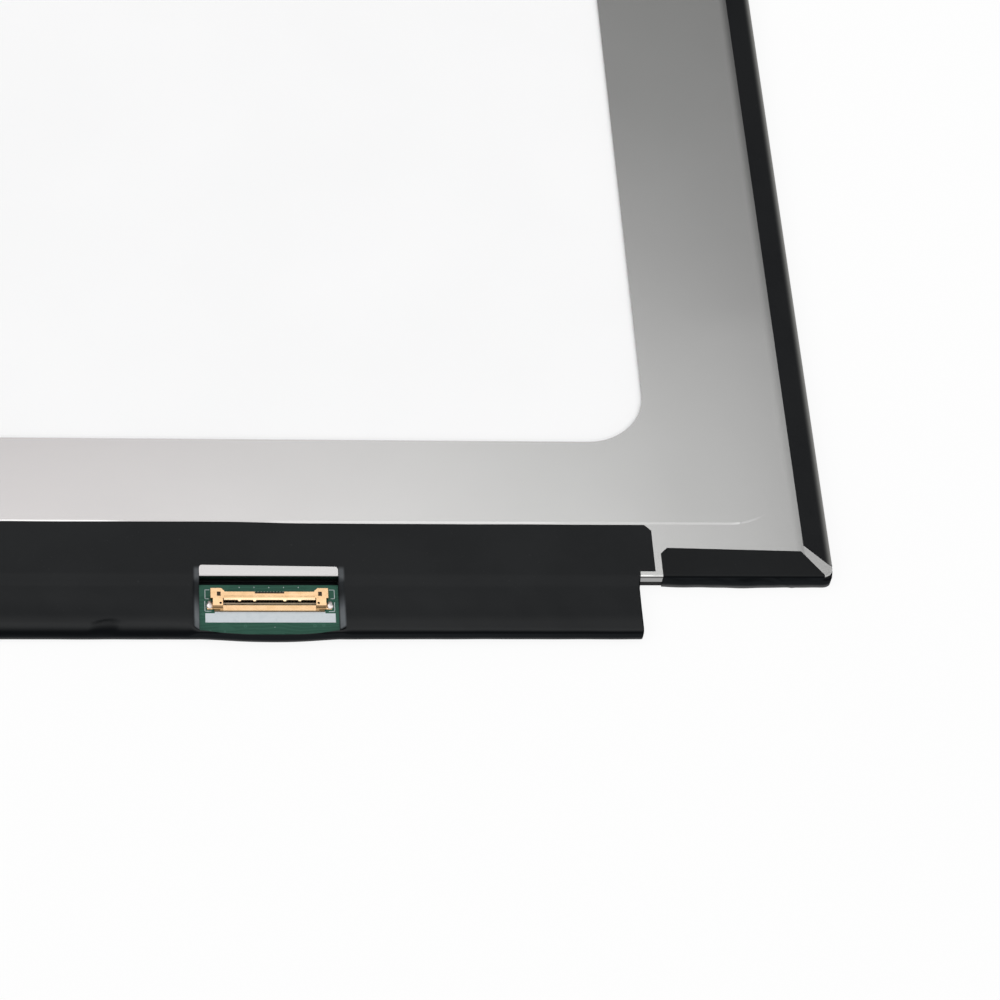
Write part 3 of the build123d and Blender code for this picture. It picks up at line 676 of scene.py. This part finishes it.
whiteFlex = stripeFinish(
    "whiteFlex", tone(0.82, 0.81, 0.76), tone(0.74, 0.70, 0.60), 0.9, 0.45, 1, 0.4, 0.01
)
amberFlex = stripeFinish(
    "amberFlex", tone(0.30, 0.15, 0.04), tone(0.42, 0.20, 0.07), 0.12, 0.5, 0, 0.25, 0.008
)
ceramicChips = passiveFinish(passiveLook)

finishOfNode = {
    "front_polariser": screenFilm,
    "colour_filter_glass": cellGlass,
    "tft_glass": cellGlass,
    "rear_polariser": innerPolariser,
    "rim_tape": satinTape,
    "mould_frame": blackMoulding,
    "upper_prism_film": prismFilm,
    "lower_prism_film": prismFilm,
    "diffuser_film": diffuserFilm,
    "light_guide_plate": clearGuide,
    "reflector_sheet": whiteReflector,
    "led_flex": whiteFlex,
    "led_packages": phosphor,
    "rear_cover": rolledSteel,
    "source_driver_chips": chipEpoxy,
    "panel_flexes": amberFlex,
    "driver_board": solderMask,
    "timing_controller": chipEpoxy,
    "power_converter": chipEpoxy,
    "backlight_driver": chipEpoxy,
    "power_inductors": greyFerrite,
    "board_passives": ceramicChips,
    "led_flex_socket": ivoryMoulding,
    "connector_housing": socketPlastic,
    "connector_shell": goldFlash,
    "connector_contacts": shadedGold,
    "connector_solder": tinSolder,
    "board_cover_tape": boardFilm,
    "socket_window_tape": boardFilm,
    "edge_tape_right": edgeFilm,
    "edge_tape_left": edgeFilm,
    "edge_tape_top": edgeFilm,
    "corner_tape_right": cornerFilm,
    "corner_tape_left": cornerFilm,
}
for nodeName, finish in finishOfNode.items():
    dressNode(nodeName, finish)
print("finishes given to", len(finishOfNode), "solids")


boardTape = {
    "film": 0.10,
    "leafRight": 145.80,  # the wide leaf on the rim
    "lowRight": 143.03,  # the narrower part over the board
    "chamfer": 1.1,
    "reach": 10.02,  # leaf's top edge above the cover's edge
    "askew": (0.235, 0.055),  # the leaf is laid this much higher to the left
    "askewX": (56.0, 72.0, 76.0, 91.0),
    "uneven": 0.04,
    "step": 1.05,
    "hump": 2.50,  # top face over the parts on the board
    "drapeStart": 0.35,
    "drapeEnd": -1.9,
    "lip": -107.84,
    "lipBends": (  # x and radius of the loose bend along the lip
        (55.0, 1.80),
        (61.0, 2.05),
        (67.0, 2.05),
        (71.0, 1.75),
        (96.0, 0.98),
        (115.0, 0.82),
        (143.0, 0.75),
    ),
    "windowBend": 0.40,  # the same bend in the window
    "windowBlend": 2.0,
    "fold": 0.12,
    "leafFront": 0.29,
    "frontStep": 2.95,
    "frontStepRun": 0.5,
    "frontDeep": 0.08,
    "frontEnd": 5.95,
    "corner": 0.40,
    "windowLeft": 71.86,
    "windowRight": 94.10,
    "windowTop": 1.8,
    "windowTilt": 0.33,  # the cut's upper edge is this much higher at its left end
    "windowRound": 0.5,
    "flapRun": 1.0,
    "flapFoot": 1.38,
    "bulge": 0.5292,  # the lip bows out in front of the socket
    "bulgeSkew": 0.22,
    "endRound": 0.35,
    "flare": 0.26,  # the end widens up to the rim
    "ripple": {"leaf": 0.012, "top": 0.008, "hump": 0.045, "lip": 0.03, "edge": 0.035},
    "sag": 0.05,
}


def ripple(x, y):  # slow uneven waves in the stuck-down film, about -1 to 1
    waves = ((0.23, 0.31, 0.4), (0.61, -0.22, 1.9), (0.11, 0.83, 3.1), (1.07, 0.47, 0.8))
    return sum(math.sin(a * x + b * y + c) for a, b, c in waves) / len(waves)


def tapeColumns(tape):
    left, right = tape["windowLeft"], tape["windowRight"]
    low, wide = tape["lowRight"], tape["leafRight"]
    runs = [
        (-wide, -wide + tape["chamfer"], 5),
        (-wide + tape["chamfer"], -low, 3),
        (-low, -low + 1.2, 10),
        (-low + 1.2, -138.0, 5),
        (-138.0, left - 26.0, 90),
        (left - 26.0, left - 2.4, 72),
        (left - 2.4, left - tape["flapRun"], 6),
        (left - tape["flapRun"], left, 8),
        (left, left + 1.6, 10),
        (left + 1.6, right - 1.6, 44),
        (right - 1.6, right, 10),
        (right, right + tape["flapRun"], 8),
        (right + tape["flapRun"], right + 2.4, 6),
        (right + 2.4, 138.0, 80),
        (138.0, low - 1.2, 8),
        (low - 1.2, low, 10),
        (low, wide - tape["chamfer"], 3),
        (wide - tape["chamfer"], wide, 5),
    ]
    places = [runs[0][0]]
    for start, end, count in runs:
        places += [start + (end - start) * (k + 1) / count for k in range(count)]
    return places


def tapeRows():  # stretches of the cross section, from the leaf on the rim to the leaf on the glass
    stretches = (
        ("leaf", 9),
        ("top", 4),
        ("rim", 2),
        ("drape", 12),
        ("hump", 26),
        ("bend", 7),
        ("lip", 8),
        ("fold", 4),
        ("under", 5),
        ("front", 4),
    )
    rows = []
    for name, count in stretches:
        for k in range(count):
            t = k / count
            if name == "hump":
                t = 1 - (1 - t) ** 1.7  # close rows near the lip
            rows.append((name, t))
    return rows + [("front", 1.0)]


def lipLine(tape, x):  # outer face of the lip in plan
    y = tape["lip"]
    past = abs(x) - (tape["lowRight"] - tape["corner"])
    if past > 0:
        r = tape["corner"]
        y += r - math.sqrt(max(r * r - past * past, 0.0))
    middle = (tape["windowLeft"] + tape["windowRight"]) / 2
    half = (tape["windowRight"] - tape["windowLeft"]) / 2
    u = (x - middle) / half
    if abs(u) < 1:
        y -= tape["bulge"] * (1 - u * u) ** 1.3 * (1 + tape["bulgeSkew"] * u)
    return y + tape["ripple"]["edge"] * ripple(x * 0.7, 3.0) * (1 - smoothStep(past, -3.0, -0.5))


def inWindow(tape, x):
    return tape["windowLeft"] <= x <= tape["windowRight"]


def flapDrop(tape, x):  # 0 away from the window, 1 at its edge
    run = tape["flapRun"]
    if inWindow(tape, x):
        return 1.0
    gap = tape["windowLeft"] - x if x < tape["windowLeft"] else x - tape["windowRight"]
    return max(0.0, 1 - gap / run) ** 1.15


def windowTop(tape, x):  # the window's upper edge, with its round corners
    r = tape["windowRound"]
    inside = min(x - tape["windowLeft"], tape["windowRight"] - x)
    share = (tape["windowRight"] - x) / (tape["windowRight"] - tape["windowLeft"])
    top = tape["windowTop"] + tape["windowTilt"] * min(max(share, 0.0), 1.0)
    if inside >= r:
        return top
    if inside >= 0:
        return top - r + math.sqrt(max(r * r - (r - inside) ** 2, 0.0))
    return top - r * (1 - smoothStep(-inside, 0.0, 1.6))


def bendAt(tape, x):  # radius of the bend along the lip
    places = tape["lipBends"]
    radius = places[0][1]
    for (xa, ra), (xb, rb) in zip(places, places[1:]):
        radius += (rb - ra) * smoothStep(x, xa, xb)
    gap = max(tape["windowLeft"] - x, x - tape["windowRight"], 0.0)
    away = smoothStep(gap, 0.0, tape["windowBlend"])
    return tape["windowBend"] + (radius - tape["windowBend"]) * away


def blister(x, y):  # the loose spot by the lip, left of the socket
    q = fromSpot(x, y, looseSpot)
    return looseSpot["height"] * (1 - q * q) ** 2 if q < 1 else 0.0


def tapePoint(tape, x, name, t):  # y and z of the film's outer face, at share t of one stretch
    base = module["bottom"]
    rim = module["rimRear"] + tape["film"]
    wave = tape["ripple"].get(name)
    lip = lipLine(tape, x)
    bend = bendAt(tape, x)
    if name == "leaf":
        over = max(0.0, abs(x) - (tape["leafRight"] - tape["chamfer"]))
        start = tape["reach"] - over + tape["uneven"] * ripple(x * 0.35, 9.0)
        lift, more = tape["askew"]
        rise, full, fall, level = tape["askewX"]
        start += (lift + more * smoothStep(x, rise, full)) * (1 - smoothStep(x, fall, level))
        end = windowTop(tape, x)
        return base + start + (end - start) * t, rim + wave * ripple(x, t * 9)
    if name == "top":
        start, end = windowTop(tape, x), tape["step"]
        return base + start + (end - start) * t, rim + wave * ripple(x, 9 + t)
    if name == "rim":
        return base + tape["step"] + (tape["drapeStart"] - tape["step"]) * t, rim
    if name == "drape":
        y = tape["drapeStart"] + (tape["drapeEnd"] - tape["drapeStart"]) * t
        z = rim + (tape["hump"] - rim) * smoothStep(t, 0.0, 1.0)
        drop = flapDrop(tape, x) * smoothStep(-y, 0.1, 1.5)
        return base + y, z + (tape["flapFoot"] - z) * drop
    if name == "hump":
        start, end = base + tape["drapeEnd"], lip + bend
        y = start + (end - start) * t
        belly = math.sin(math.pi * t)
        z = tape["hump"] + wave * ripple(x, y) * belly - tape["sag"] * belly**2 + blister(x, y)
        drop = flapDrop(tape, x) * smoothStep(y, end + 0.02, end + 0.40)
        return y, z + (tape["flapFoot"] - z) * drop
    if name == "bend":
        turn = t * math.pi / 2
        free = 0.0
        if inWindow(tape, x):
            inside = min(x - tape["windowLeft"], tape["windowRight"] - x)
            free = smoothStep(inside, 0.0, 4.5)
        y = lip + bend * (1 - math.sin(turn)) * (1 - free)
        z = tape["hump"] - bend * (1 - math.cos(turn)) * (1 - free) - free * bend * t
        return y, z + blister(x, y) * (1 - t)
    low = tape["leafFront"] + tape["fold"]
    if name == "lip":
        top = tape["hump"] - bend
        z = top + (low - top) * t
        return lip + wave * ripple(x * 1.3, z * 2) * math.sin(math.pi * t), z
    if name == "fold":
        turn = t * math.pi / 2
        return lip + tape["fold"] * (1 - math.cos(turn)), low - tape["fold"] * math.sin(turn)
    if name == "under":
        start, end = lip + tape["fold"], base + tape["frontStep"]
        return start + (end - start) * t, tape["leafFront"]
    start = base + tape["frontStep"]
    y = start + (base + tape["frontEnd"] - start) * t
    drop = smoothStep(y, start, start + tape["frontStepRun"])
    return y, tape["leafFront"] + (tape["frontDeep"] - tape["leafFront"]) * drop


def endShape(tape, x, name, t):  # how far an end flares out at the rim, and rounds off over the hump
    r = tape["endRound"]
    past = abs(x) - (tape["lowRight"] - r)
    down = {"rim": 0.0, "drape": t, "hump": 1.0, "bend": 1.0}.get(name)
    if down is None or past <= 0 or abs(x) > tape["lowRight"] + 1e-6:
        return 0.0, 0.0
    flare = math.copysign(tape["flare"], x) * past / r * (1 - down)
    drop = (r - math.sqrt(max(r * r - past * past, 0.0))) * down
    return flare, drop


def closeEnd(shape, edge, names, side):  # a wall from an end's outline down to the fold under the lip
    top, lip, under = names.index("drape"), names.index("lip"), names.index("under")
    heights = [vert.co.z for vert in edge[lip:under]]
    shares = [(heights[0] - z) / (heights[0] - heights[-1]) for z in heights]
    wall = []
    for vert in edge[top:lip]:
        x, y, z = vert.co
        run = [vert]
        for share in shares[1:]:
            run.append(shape.verts.new((x, y, z + (heights[-1] - z) * share)))
        wall.append(run)
    for a, b in zip(wall, wall[1:]):
        for k in range(len(a) - 1):
            corners = (a[k], a[k + 1], b[k + 1], b[k])
            shape.faces.new(corners if side < 0 else corners[::-1])


def makeBoardTape(tape):
    columns, rows = tapeColumns(tape), tapeRows()
    names = [name for name, t in rows]
    low = tape["lowRight"]
    narrow = names.index("rim")  # the part over the board starts here
    cut = ("top", "rim", "drape", "hump")
    shape = bmesh.new()
    grid = []
    for x in columns:
        column = []
        for name, t in rows:
            y, z = tapePoint(tape, x, name, t)
            flare, drop = endShape(tape, x, name, t)
            column.append(shape.verts.new(((x + flare) * mm, y * mm, (z - drop) * mm)))
        grid.append(column)
    for i in range(len(columns) - 1):
        middle = (columns[i] + columns[i + 1]) / 2
        for j in range(len(rows) - 1):
            if abs(middle) > low and j >= narrow:
                continue
            if inWindow(tape, middle) and names[j] in cut:
                continue
            shape.faces.new((grid[i][j], grid[i][j + 1], grid[i + 1][j + 1], grid[i + 1][j]))
    for side in (-1, 1):
        at = min(range(len(columns)), key=lambda k: abs(columns[k] - side * low))
        closeEnd(shape, grid[at], names, side)
    loose = [v for v in shape.verts if not v.link_faces]
    bmesh.ops.delete(shape, geom=loose, context="VERTS")
    bmesh.ops.remove_doubles(shape, verts=shape.verts, dist=0.002 * mm)
    mesh = bpy.data.meshes.new("boardTape")
    shape.to_mesh(mesh)
    shape.free()

    def thicken(holder):
        wall = holder.modifiers.new("film", "SOLIDIFY")
        wall.thickness = tape["film"] * mm
        wall.offset = -1.0

    plain = softShaded(settled("boardTape", mesh, thicken), 60)  # crisp along the film's cut edges
    stands = ("board_cover_tape", "socket_window_tape")
    newPiece("boardTape", plain, boardFilm, stands)


makeBoardTape(boardTape)
print("board tape folded")


boardPrint = {  # x from the socket's middle, d from the board's upper edge, in mm
    "height": 0.014,
    "middle": 83.01,
    "block": [  # one field with a step at each end of the socket
        (-10.2, 7.06),
        (10.52, 7.06),
        (10.52, 5.34),
        (8.9, 5.34),
        (8.9, 5.02),
        (-8.7, 5.02),
        (-8.7, 5.34),
        (-10.2, 5.34),
    ],
    "line": 0.08,
    "strokes": [
        ((-9.55, 0.92), (-10.2, 0.92)),
        ((-10.2, 0.92), (-10.2, 2.62)),
        ((-10.2, 2.62), (-9.65, 2.62)),
        ((9.65, 0.92), (10.45, 0.92)),
        ((10.45, 0.92), (10.45, 2.58)),
        ((10.45, 2.58), (9.9, 2.58)),
        ((-10.25, 3.10), (-10.25, 4.95)),
        ((-10.25, 4.95), (-9.3, 4.95)),
        ((10.42, 3.30), (10.42, 5.0)),
        ((10.42, 5.0), (9.5, 5.0)),
        ((0.78, 7.93), (0.78, 7.94)),
    ],
    "tickPitch": 2.36,
    "tickCount": 5,
    "tickSize": (0.11, 0.17),
    "tickD": 0.44,
}


def addField(shape, outline, floor, top):  # a flat printed field, its outline counter-clockwise from above
    low = [shape.verts.new((x * mm, y * mm, floor * mm)) for x, y in outline]
    high = [shape.verts.new((x * mm, y * mm, top * mm)) for x, y in outline]
    shape.faces.new(low[::-1])
    shape.faces.new(high)
    for k in range(len(outline)):
        after = (k + 1) % len(outline)
        shape.faces.new((low[k], low[after], high[after], high[k]))


def makeBoardPrint(ink):
    shape = bmesh.new()
    floor = module["boardRear"]
    top = floor + ink["height"]
    middle, edge = ink["middle"], module["boardTop"]
    addField(shape, [(middle + x, edge - d) for x, d in ink["block"]], floor, top)
    half = ink["line"] / 2
    for (xa, da), (xb, db) in ink["strokes"]:
        left, right = middle + min(xa, xb) - half, middle + max(xa, xb) + half
        low, high = edge - max(da, db) - half, edge - min(da, db) + half
        addField(shape, [(left, low), (right, low), (right, high), (left, high)], floor, top)
    mesh = bpy.data.meshes.new("boardPrint")
    shape.to_mesh(mesh)
    shape.free()
    newPiece("boardPrint", mesh, whitePrint)


makeBoardPrint(boardPrint)


def rowTree(name, solidKind, solidValues, material):  # a row of equal small solids along X
    tree = bpy.data.node_groups.new(name, "GeometryNodeTree")
    sheet = Sheet(tree)
    face = tree.interface
    face.new_socket("Count", in_out="INPUT", socket_type="NodeSocketInt")
    face.new_socket("Start", in_out="INPUT", socket_type="NodeSocketVector")
    face.new_socket("Step", in_out="INPUT", socket_type="NodeSocketVector")
    face.new_socket("Size", in_out="INPUT", socket_type="NodeSocketVector")
    face.new_socket("Geometry", in_out="OUTPUT", socket_type="NodeSocketGeometry")
    asked = sheet.add("NodeGroupInput")
    start, step = asked.part("Start"), asked.part("Step")
    spread = {"Count": asked.part("Count"), "Start Location": start, "Offset": step}
    line = sheet.add("GeometryNodeMeshLine", {}, spread)
    solid = sheet.add(solidKind, {}, solidValues)
    placed = {"Points": line, "Instance": solid, "Scale": asked.part("Size")}
    row = sheet.add("GeometryNodeInstanceOnPoints", {}, placed)
    real = sheet.add("GeometryNodeRealizeInstances", {}, {0: row})
    painted = sheet.add("GeometryNodeSetMaterial", {}, {"Geometry": real, "Material": material})
    sheet.add("NodeGroupOutput", {}, {"Geometry": painted})
    return tree


def makeRow(name, tree, inputs, material):
    seed = bpy.data.meshes.new(name)

    def repeat(holder):
        modifier = holder.modifiers.new("row", "NODES")
        modifier.node_group = tree
        for item in tree.interface.items_tree:
            if item.in_out == "INPUT":
                modifier[item.identifier] = inputs[item.name]

    newPiece(name, settled(name, seed, repeat), material)


tickTree = rowTree("printedTicks", "GeometryNodeMeshCube", {"Size": (1.0, 1.0, 1.0)}, whitePrint)
makeRow(
    "printedTicks",
    tickTree,
    {
        "Count": boardPrint["tickCount"],
        "Start": (
            (boardPrint["middle"] - boardPrint["tickPitch"] * (boardPrint["tickCount"] - 1) / 2) * mm,
            (module["boardTop"] - boardPrint["tickD"]) * mm,
            (module["boardRear"] + boardPrint["height"] / 2) * mm,
        ),
        "Step": (boardPrint["tickPitch"] * mm, 0.0, 0.0),
        "Size": tuple(s * mm for s in (*boardPrint["tickSize"], boardPrint["height"])),
    },
    whitePrint,
)

tailSolder = {  # fillets at the contact tails
    "count": 30,
    "pitch": 0.5,
    "d": 1.42,
    "lift": 0.02,
    "size": (0.16, 0.20, 0.07),
    "ball": {"Segments": 12, "Rings": 8, "Radius": 1.0},
}
solderTree = rowTree("tailFillets", "GeometryNodeMeshUVSphere", tailSolder["ball"], tinSolder)
makeRow(
    "tailFillets",
    solderTree,
    {
        "Count": tailSolder["count"],
        "Start": (
            (module["socketX"] - tailSolder["pitch"] * (tailSolder["count"] - 1) / 2) * mm,
            (module["boardTop"] - tailSolder["d"]) * mm,
            (module["boardRear"] + tailSolder["lift"]) * mm,
        ),
        "Step": (tailSolder["pitch"] * mm, 0.0, 0.0),
        "Size": tuple(s * mm for s in tailSolder["size"]),
    },
    tinSolder,
)


def mergedCopy(node):  # a solid's mesh with its loose triangles joined
    shape = bmesh.new()
    shape.from_mesh(solids[node].data)
    bmesh.ops.remove_doubles(shape, verts=shape.verts, dist=0.0005 * mm)
    return shape


socketShell = {"edge": 0.035, "steps": 2}  # rolled edges of the stamped sheet


def makeSocketShell(settings):
    shape = mergedCopy("connector_shell")
    bmesh.ops.dissolve_limit(shape, angle_limit=math.radians(0.5), verts=shape.verts, edges=shape.edges)
    mesh = bpy.data.meshes.new("socketShell")
    shape.to_mesh(mesh)
    shape.free()

    def roll(holder):
        edge = holder.modifiers.new("edge", "BEVEL")
        edge.width = settings["edge"] * mm
        edge.segments = settings["steps"]
        edge.limit_method = "ANGLE"
        edge.angle_limit = math.radians(30)

    plain = softShaded(settled("socketShell", mesh, roll), 12)  # the sheet between the edges stays flat
    newPiece("socketShell", plain, goldFlash, ("connector_shell",))


makeSocketShell(socketShell)

footSolder = {
    "lumps": [  # x from the socket's middle, d from its rear edge, half widths and height
        (-9.47, 2.60, 0.62, 0.80, 0.40),
        (9.66, 2.66, 0.60, 0.78, 0.38),
    ],
    "rings": 7,
    "sides": 28,
    "swell": (0.09, 0.05),
    "slump": 0.12,
    "full": 0.75,
}


def makeFootSolder(settings):
    shape = bmesh.new()
    broad, fine = settings["swell"]
    for x, d, halfX, halfY, height in settings["lumps"]:
        rings = []
        for k in range(settings["rings"]):
            turn = k / settings["rings"] * math.pi / 2
            ring = []
            for n in range(settings["sides"]):
                around = n / settings["sides"] * 2 * math.pi
                swell = 1 + broad * math.sin(3 * around + x) + fine * math.sin(5 * around - d)
                reach = math.cos(turn) ** settings["full"] * swell
                lift = height * math.sin(turn) * (1 + settings["slump"] * math.cos(around - x))
                spot = (
                    module["socketX"] + x + halfX * reach * math.cos(around),
                    module["socketRear"] - d + halfY * reach * math.sin(around),
                    module["boardRear"] + lift,
                )
                ring.append(shape.verts.new([v * mm for v in spot]))
            rings.append(ring)
        top = (module["socketX"] + x, module["socketRear"] - d, module["boardRear"] + height)
        peak = shape.verts.new([v * mm for v in top])
        for low, high in zip(rings, rings[1:]):
            for n in range(len(low)):
                after = (n + 1) % len(low)
                shape.faces.new((low[n], low[after], high[after], high[n]))
        for n in range(len(rings[-1])):
            shape.faces.new((rings[-1][n], rings[-1][(n + 1) % len(rings[-1])], peak))
        shape.faces.new(rings[0][::-1])
    mesh = bpy.data.meshes.new("footSolder")
    shape.to_mesh(mesh)
    shape.free()
    newPiece("footSolder", softShaded(mesh, 60), tinSolder, ("connector_solder",))


makeFootSolder(footSolder)
print("board printed and soldered")

cornerTape = {
    "start": 147.0,
    "cut": 0.36,
    "levels": (0.35, 0.7, 1.05, 1.4, 1.75, 2.1, 2.4, 2.6),
    "high": 2.6,
    "loose": 0.22,  # how far the wall stands off the cover
    "lump": (160.5, 3.5, 0.15),  # x, width and height
    "wave": 0.018,
    "pinch": 0.03,
    "crease": (165.6, 1.2, 0.40, 0.09),  # x at the top, run for each mm down, width and height
    "round": 1.9,  # corner of the cover under the film
    "square": 3.6,  # power of the rounder-than-square corner that the film takes
}


def makeCornerTape(tape, node, name, side, phase):  # its wall stands off the cover in slack waves
    shape = mergedCopy(node)
    steps = int((module["right"] - tape["start"]) / tape["cut"])
    cuts = [((side * (tape["start"] + k * tape["cut"]) * mm, 0, 0), (1, 0, 0)) for k in range(1, steps)]
    cuts += [((0, 0, z * mm), (0, 0, 1)) for z in tape["levels"]]
    for place, normal in cuts:
        geometry = shape.verts[:] + shape.edges[:] + shape.faces[:]
        bmesh.ops.bisect_plane(shape, geom=geometry, dist=1e-8, plane_co=place, plane_no=normal)
    middleX = module["right"] + boardTape["film"] - tape["round"]
    middleY = module["bottom"] - boardTape["film"] + tape["round"]
    lumpX, lumpWide, lumpHigh = tape["lump"]
    creaseX, creaseRun, creaseWide, creaseHigh = tape["crease"]
    high = tape["high"]
    for vert in shape.verts:
        x, y, z = (v / mm for v in vert.co)
        x *= side
        low = 1 - smoothStep(z, 2.0, 2.3)
        lump = lumpHigh * math.exp(-(((x - lumpX) / lumpWide) ** 2))
        slack = tape["loose"] + lump + tape["wave"] * math.sin(1.3 * x + phase)
        slack *= smoothStep(x, tape["start"] - 1.5, tape["start"] + 2.5)
        if x > middleX and y < middleY:
            across, along = x - middleX, middleY - y
            reach = math.hypot(across, along)
            power = tape["square"]
            grow = reach / (across**power + along**power) ** (1 / power)
            grow = 1 + (grow - 1) * low
            x = middleX + across * grow
            y = middleY - along * grow - slack * low * (along / reach) ** 3
        elif y < module["bottom"] + 0.06:
            fold = 1 - smoothStep(z, 1.5 + 0.25 * math.sin(0.9 * x + phase), 2.65)
            belly = math.sin(math.pi * min(max(z / high, 0.0), 1.0))
            pinch = tape["pinch"] * math.sin(1.7 * x + 3 * z + phase) * belly
            fromCrease = x - creaseX - creaseRun * (high - z)
            ridge = creaseHigh * math.exp(-((fromCrease / creaseWide) ** 2))
            y -= slack * fold + pinch * smoothStep(slack, 0.0, 0.2)
            y -= ridge * smoothStep(high + 0.1 - z, 0.0, 0.5)
        vert.co.x, vert.co.y = side * x * mm, y * mm
    mesh = bpy.data.meshes.new(name)
    shape.to_mesh(mesh)
    shape.free()
    newPiece(name, softShaded(mesh, 40), cornerFilm, (node,))


makeCornerTape(cornerTape, "corner_tape_right", "cornerTapeRight", 1, 0.4)
makeCornerTape(cornerTape, "corner_tape_left", "cornerTapeLeft", -1, 2.1)
print("corner tapes creased")


studio = {  # angles in degrees
    "dark": 0.33,  # behind the panel, low down
    "bright": 1.62,  # overhead
    "riseAt": (51.6, 56.0),  # heights between which the dark part turns bright
    "riseTo": 2.8,
    "lean": (30, 0.07),  # the rise comes lower to one side
    "bow": (16, 14, 0.145),  # and is bowed up past this angle
    "front": (0.5, 1.26),  # behind the camera, low and high
    "frontAt": (8.0, 34.0),
    "beside": (0.40, 1.25),
    "besideAt": (15.0, 50.0),
    "turnAt": (32.0, 60.0),  # how far aside the back goes over into the sides
    "facing": (-0.15, 0.25),
    "table": tone(0.90, 0.90, 0.90),
    "tablePale": tone(0.92, 0.92, 0.92),
    "tableHalf": 30.0,  # m
    "tableGap": 0.05,
    "tableGlow": 0.86,  # share of plain white that camera and mirror rays see
}


def makeFloor(light):
    material, sheet = newFinish("paleTable")
    rays = sheet.add("ShaderNodeLightPath")
    seen = rays.part("Is Camera Ray").atLeast(rays.part("Is Glossy Ray"))
    seen = seen.atLeast(rays.part("Is Transmission Ray"))
    cloud = sheet.noise(sheet.place(), 60.0, 2.0)
    colour = sheet.blend(cloud, light["table"], light["tablePale"])
    plain = sheet.add("ShaderNodeBsdfDiffuse", {}, {"Color": colour})
    glow = sheet.add("ShaderNodeEmission", {}, {"Color": tone(1, 1, 1), "Strength": 1.0})
    both = sheet.add("ShaderNodeMixShader", {}, {0: seen * light["tableGlow"], 1: plain, 2: glow})
    sheet.add("ShaderNodeOutputMaterial", {}, {"Surface": both})
    shape = bmesh.new()
    bmesh.ops.create_grid(shape, x_segments=4, y_segments=4, size=light["tableHalf"])
    mesh = bpy.data.meshes.new("paleTable")
    shape.to_mesh(mesh)
    shape.free()
    mesh.materials.append(material)
    floor = bpy.data.objects.new("paleTable", mesh)
    scene.collection.objects.link(floor)
    floor.location.z = -light["tableGap"] * mm


def makeSky(light):
    world = bpy.data.worlds.new("softStudio")
    world.use_nodes = True
    scene.world = world
    sheet = Sheet(world.node_tree)
    x, y, z = sheet.axes(sheet.add("ShaderNodeTexCoord").part("Generated"))
    degree = 180 / math.pi
    height = z.math("ARCSINE", z) * degree
    aside = x.math("ARCTAN2", x, y) * degree
    leanMost, lean = light["lean"]
    bowFrom, bowMost, bow = light["bow"]
    past = (aside - bowFrom).atLeast(0).atMost(bowMost)
    reach = height + aside.atLeast(-leanMost).atMost(leanMost) * lean - past * past * bow
    behind = reach.ramp(*light["riseAt"], light["dark"], light["riseTo"]).atMost(light["bright"])
    beside = height.ramp(*light["besideAt"], *light["beside"])
    turned = abs(aside).ramp(*light["turnAt"])
    behind = behind * (1 - turned) + beside * turned
    before = height.ramp(*light["frontAt"], *light["front"])
    facing = y.ramp(*light["facing"])
    level = behind * facing + before * (1 - facing)
    back = sheet.add("ShaderNodeBackground", {}, {"Color": tone(1, 1, 1), "Strength": level})
    sheet.add("ShaderNodeOutputWorld", {}, {"Surface": back})


makeFloor(studio)
makeSky(studio)
print("floor and light set")
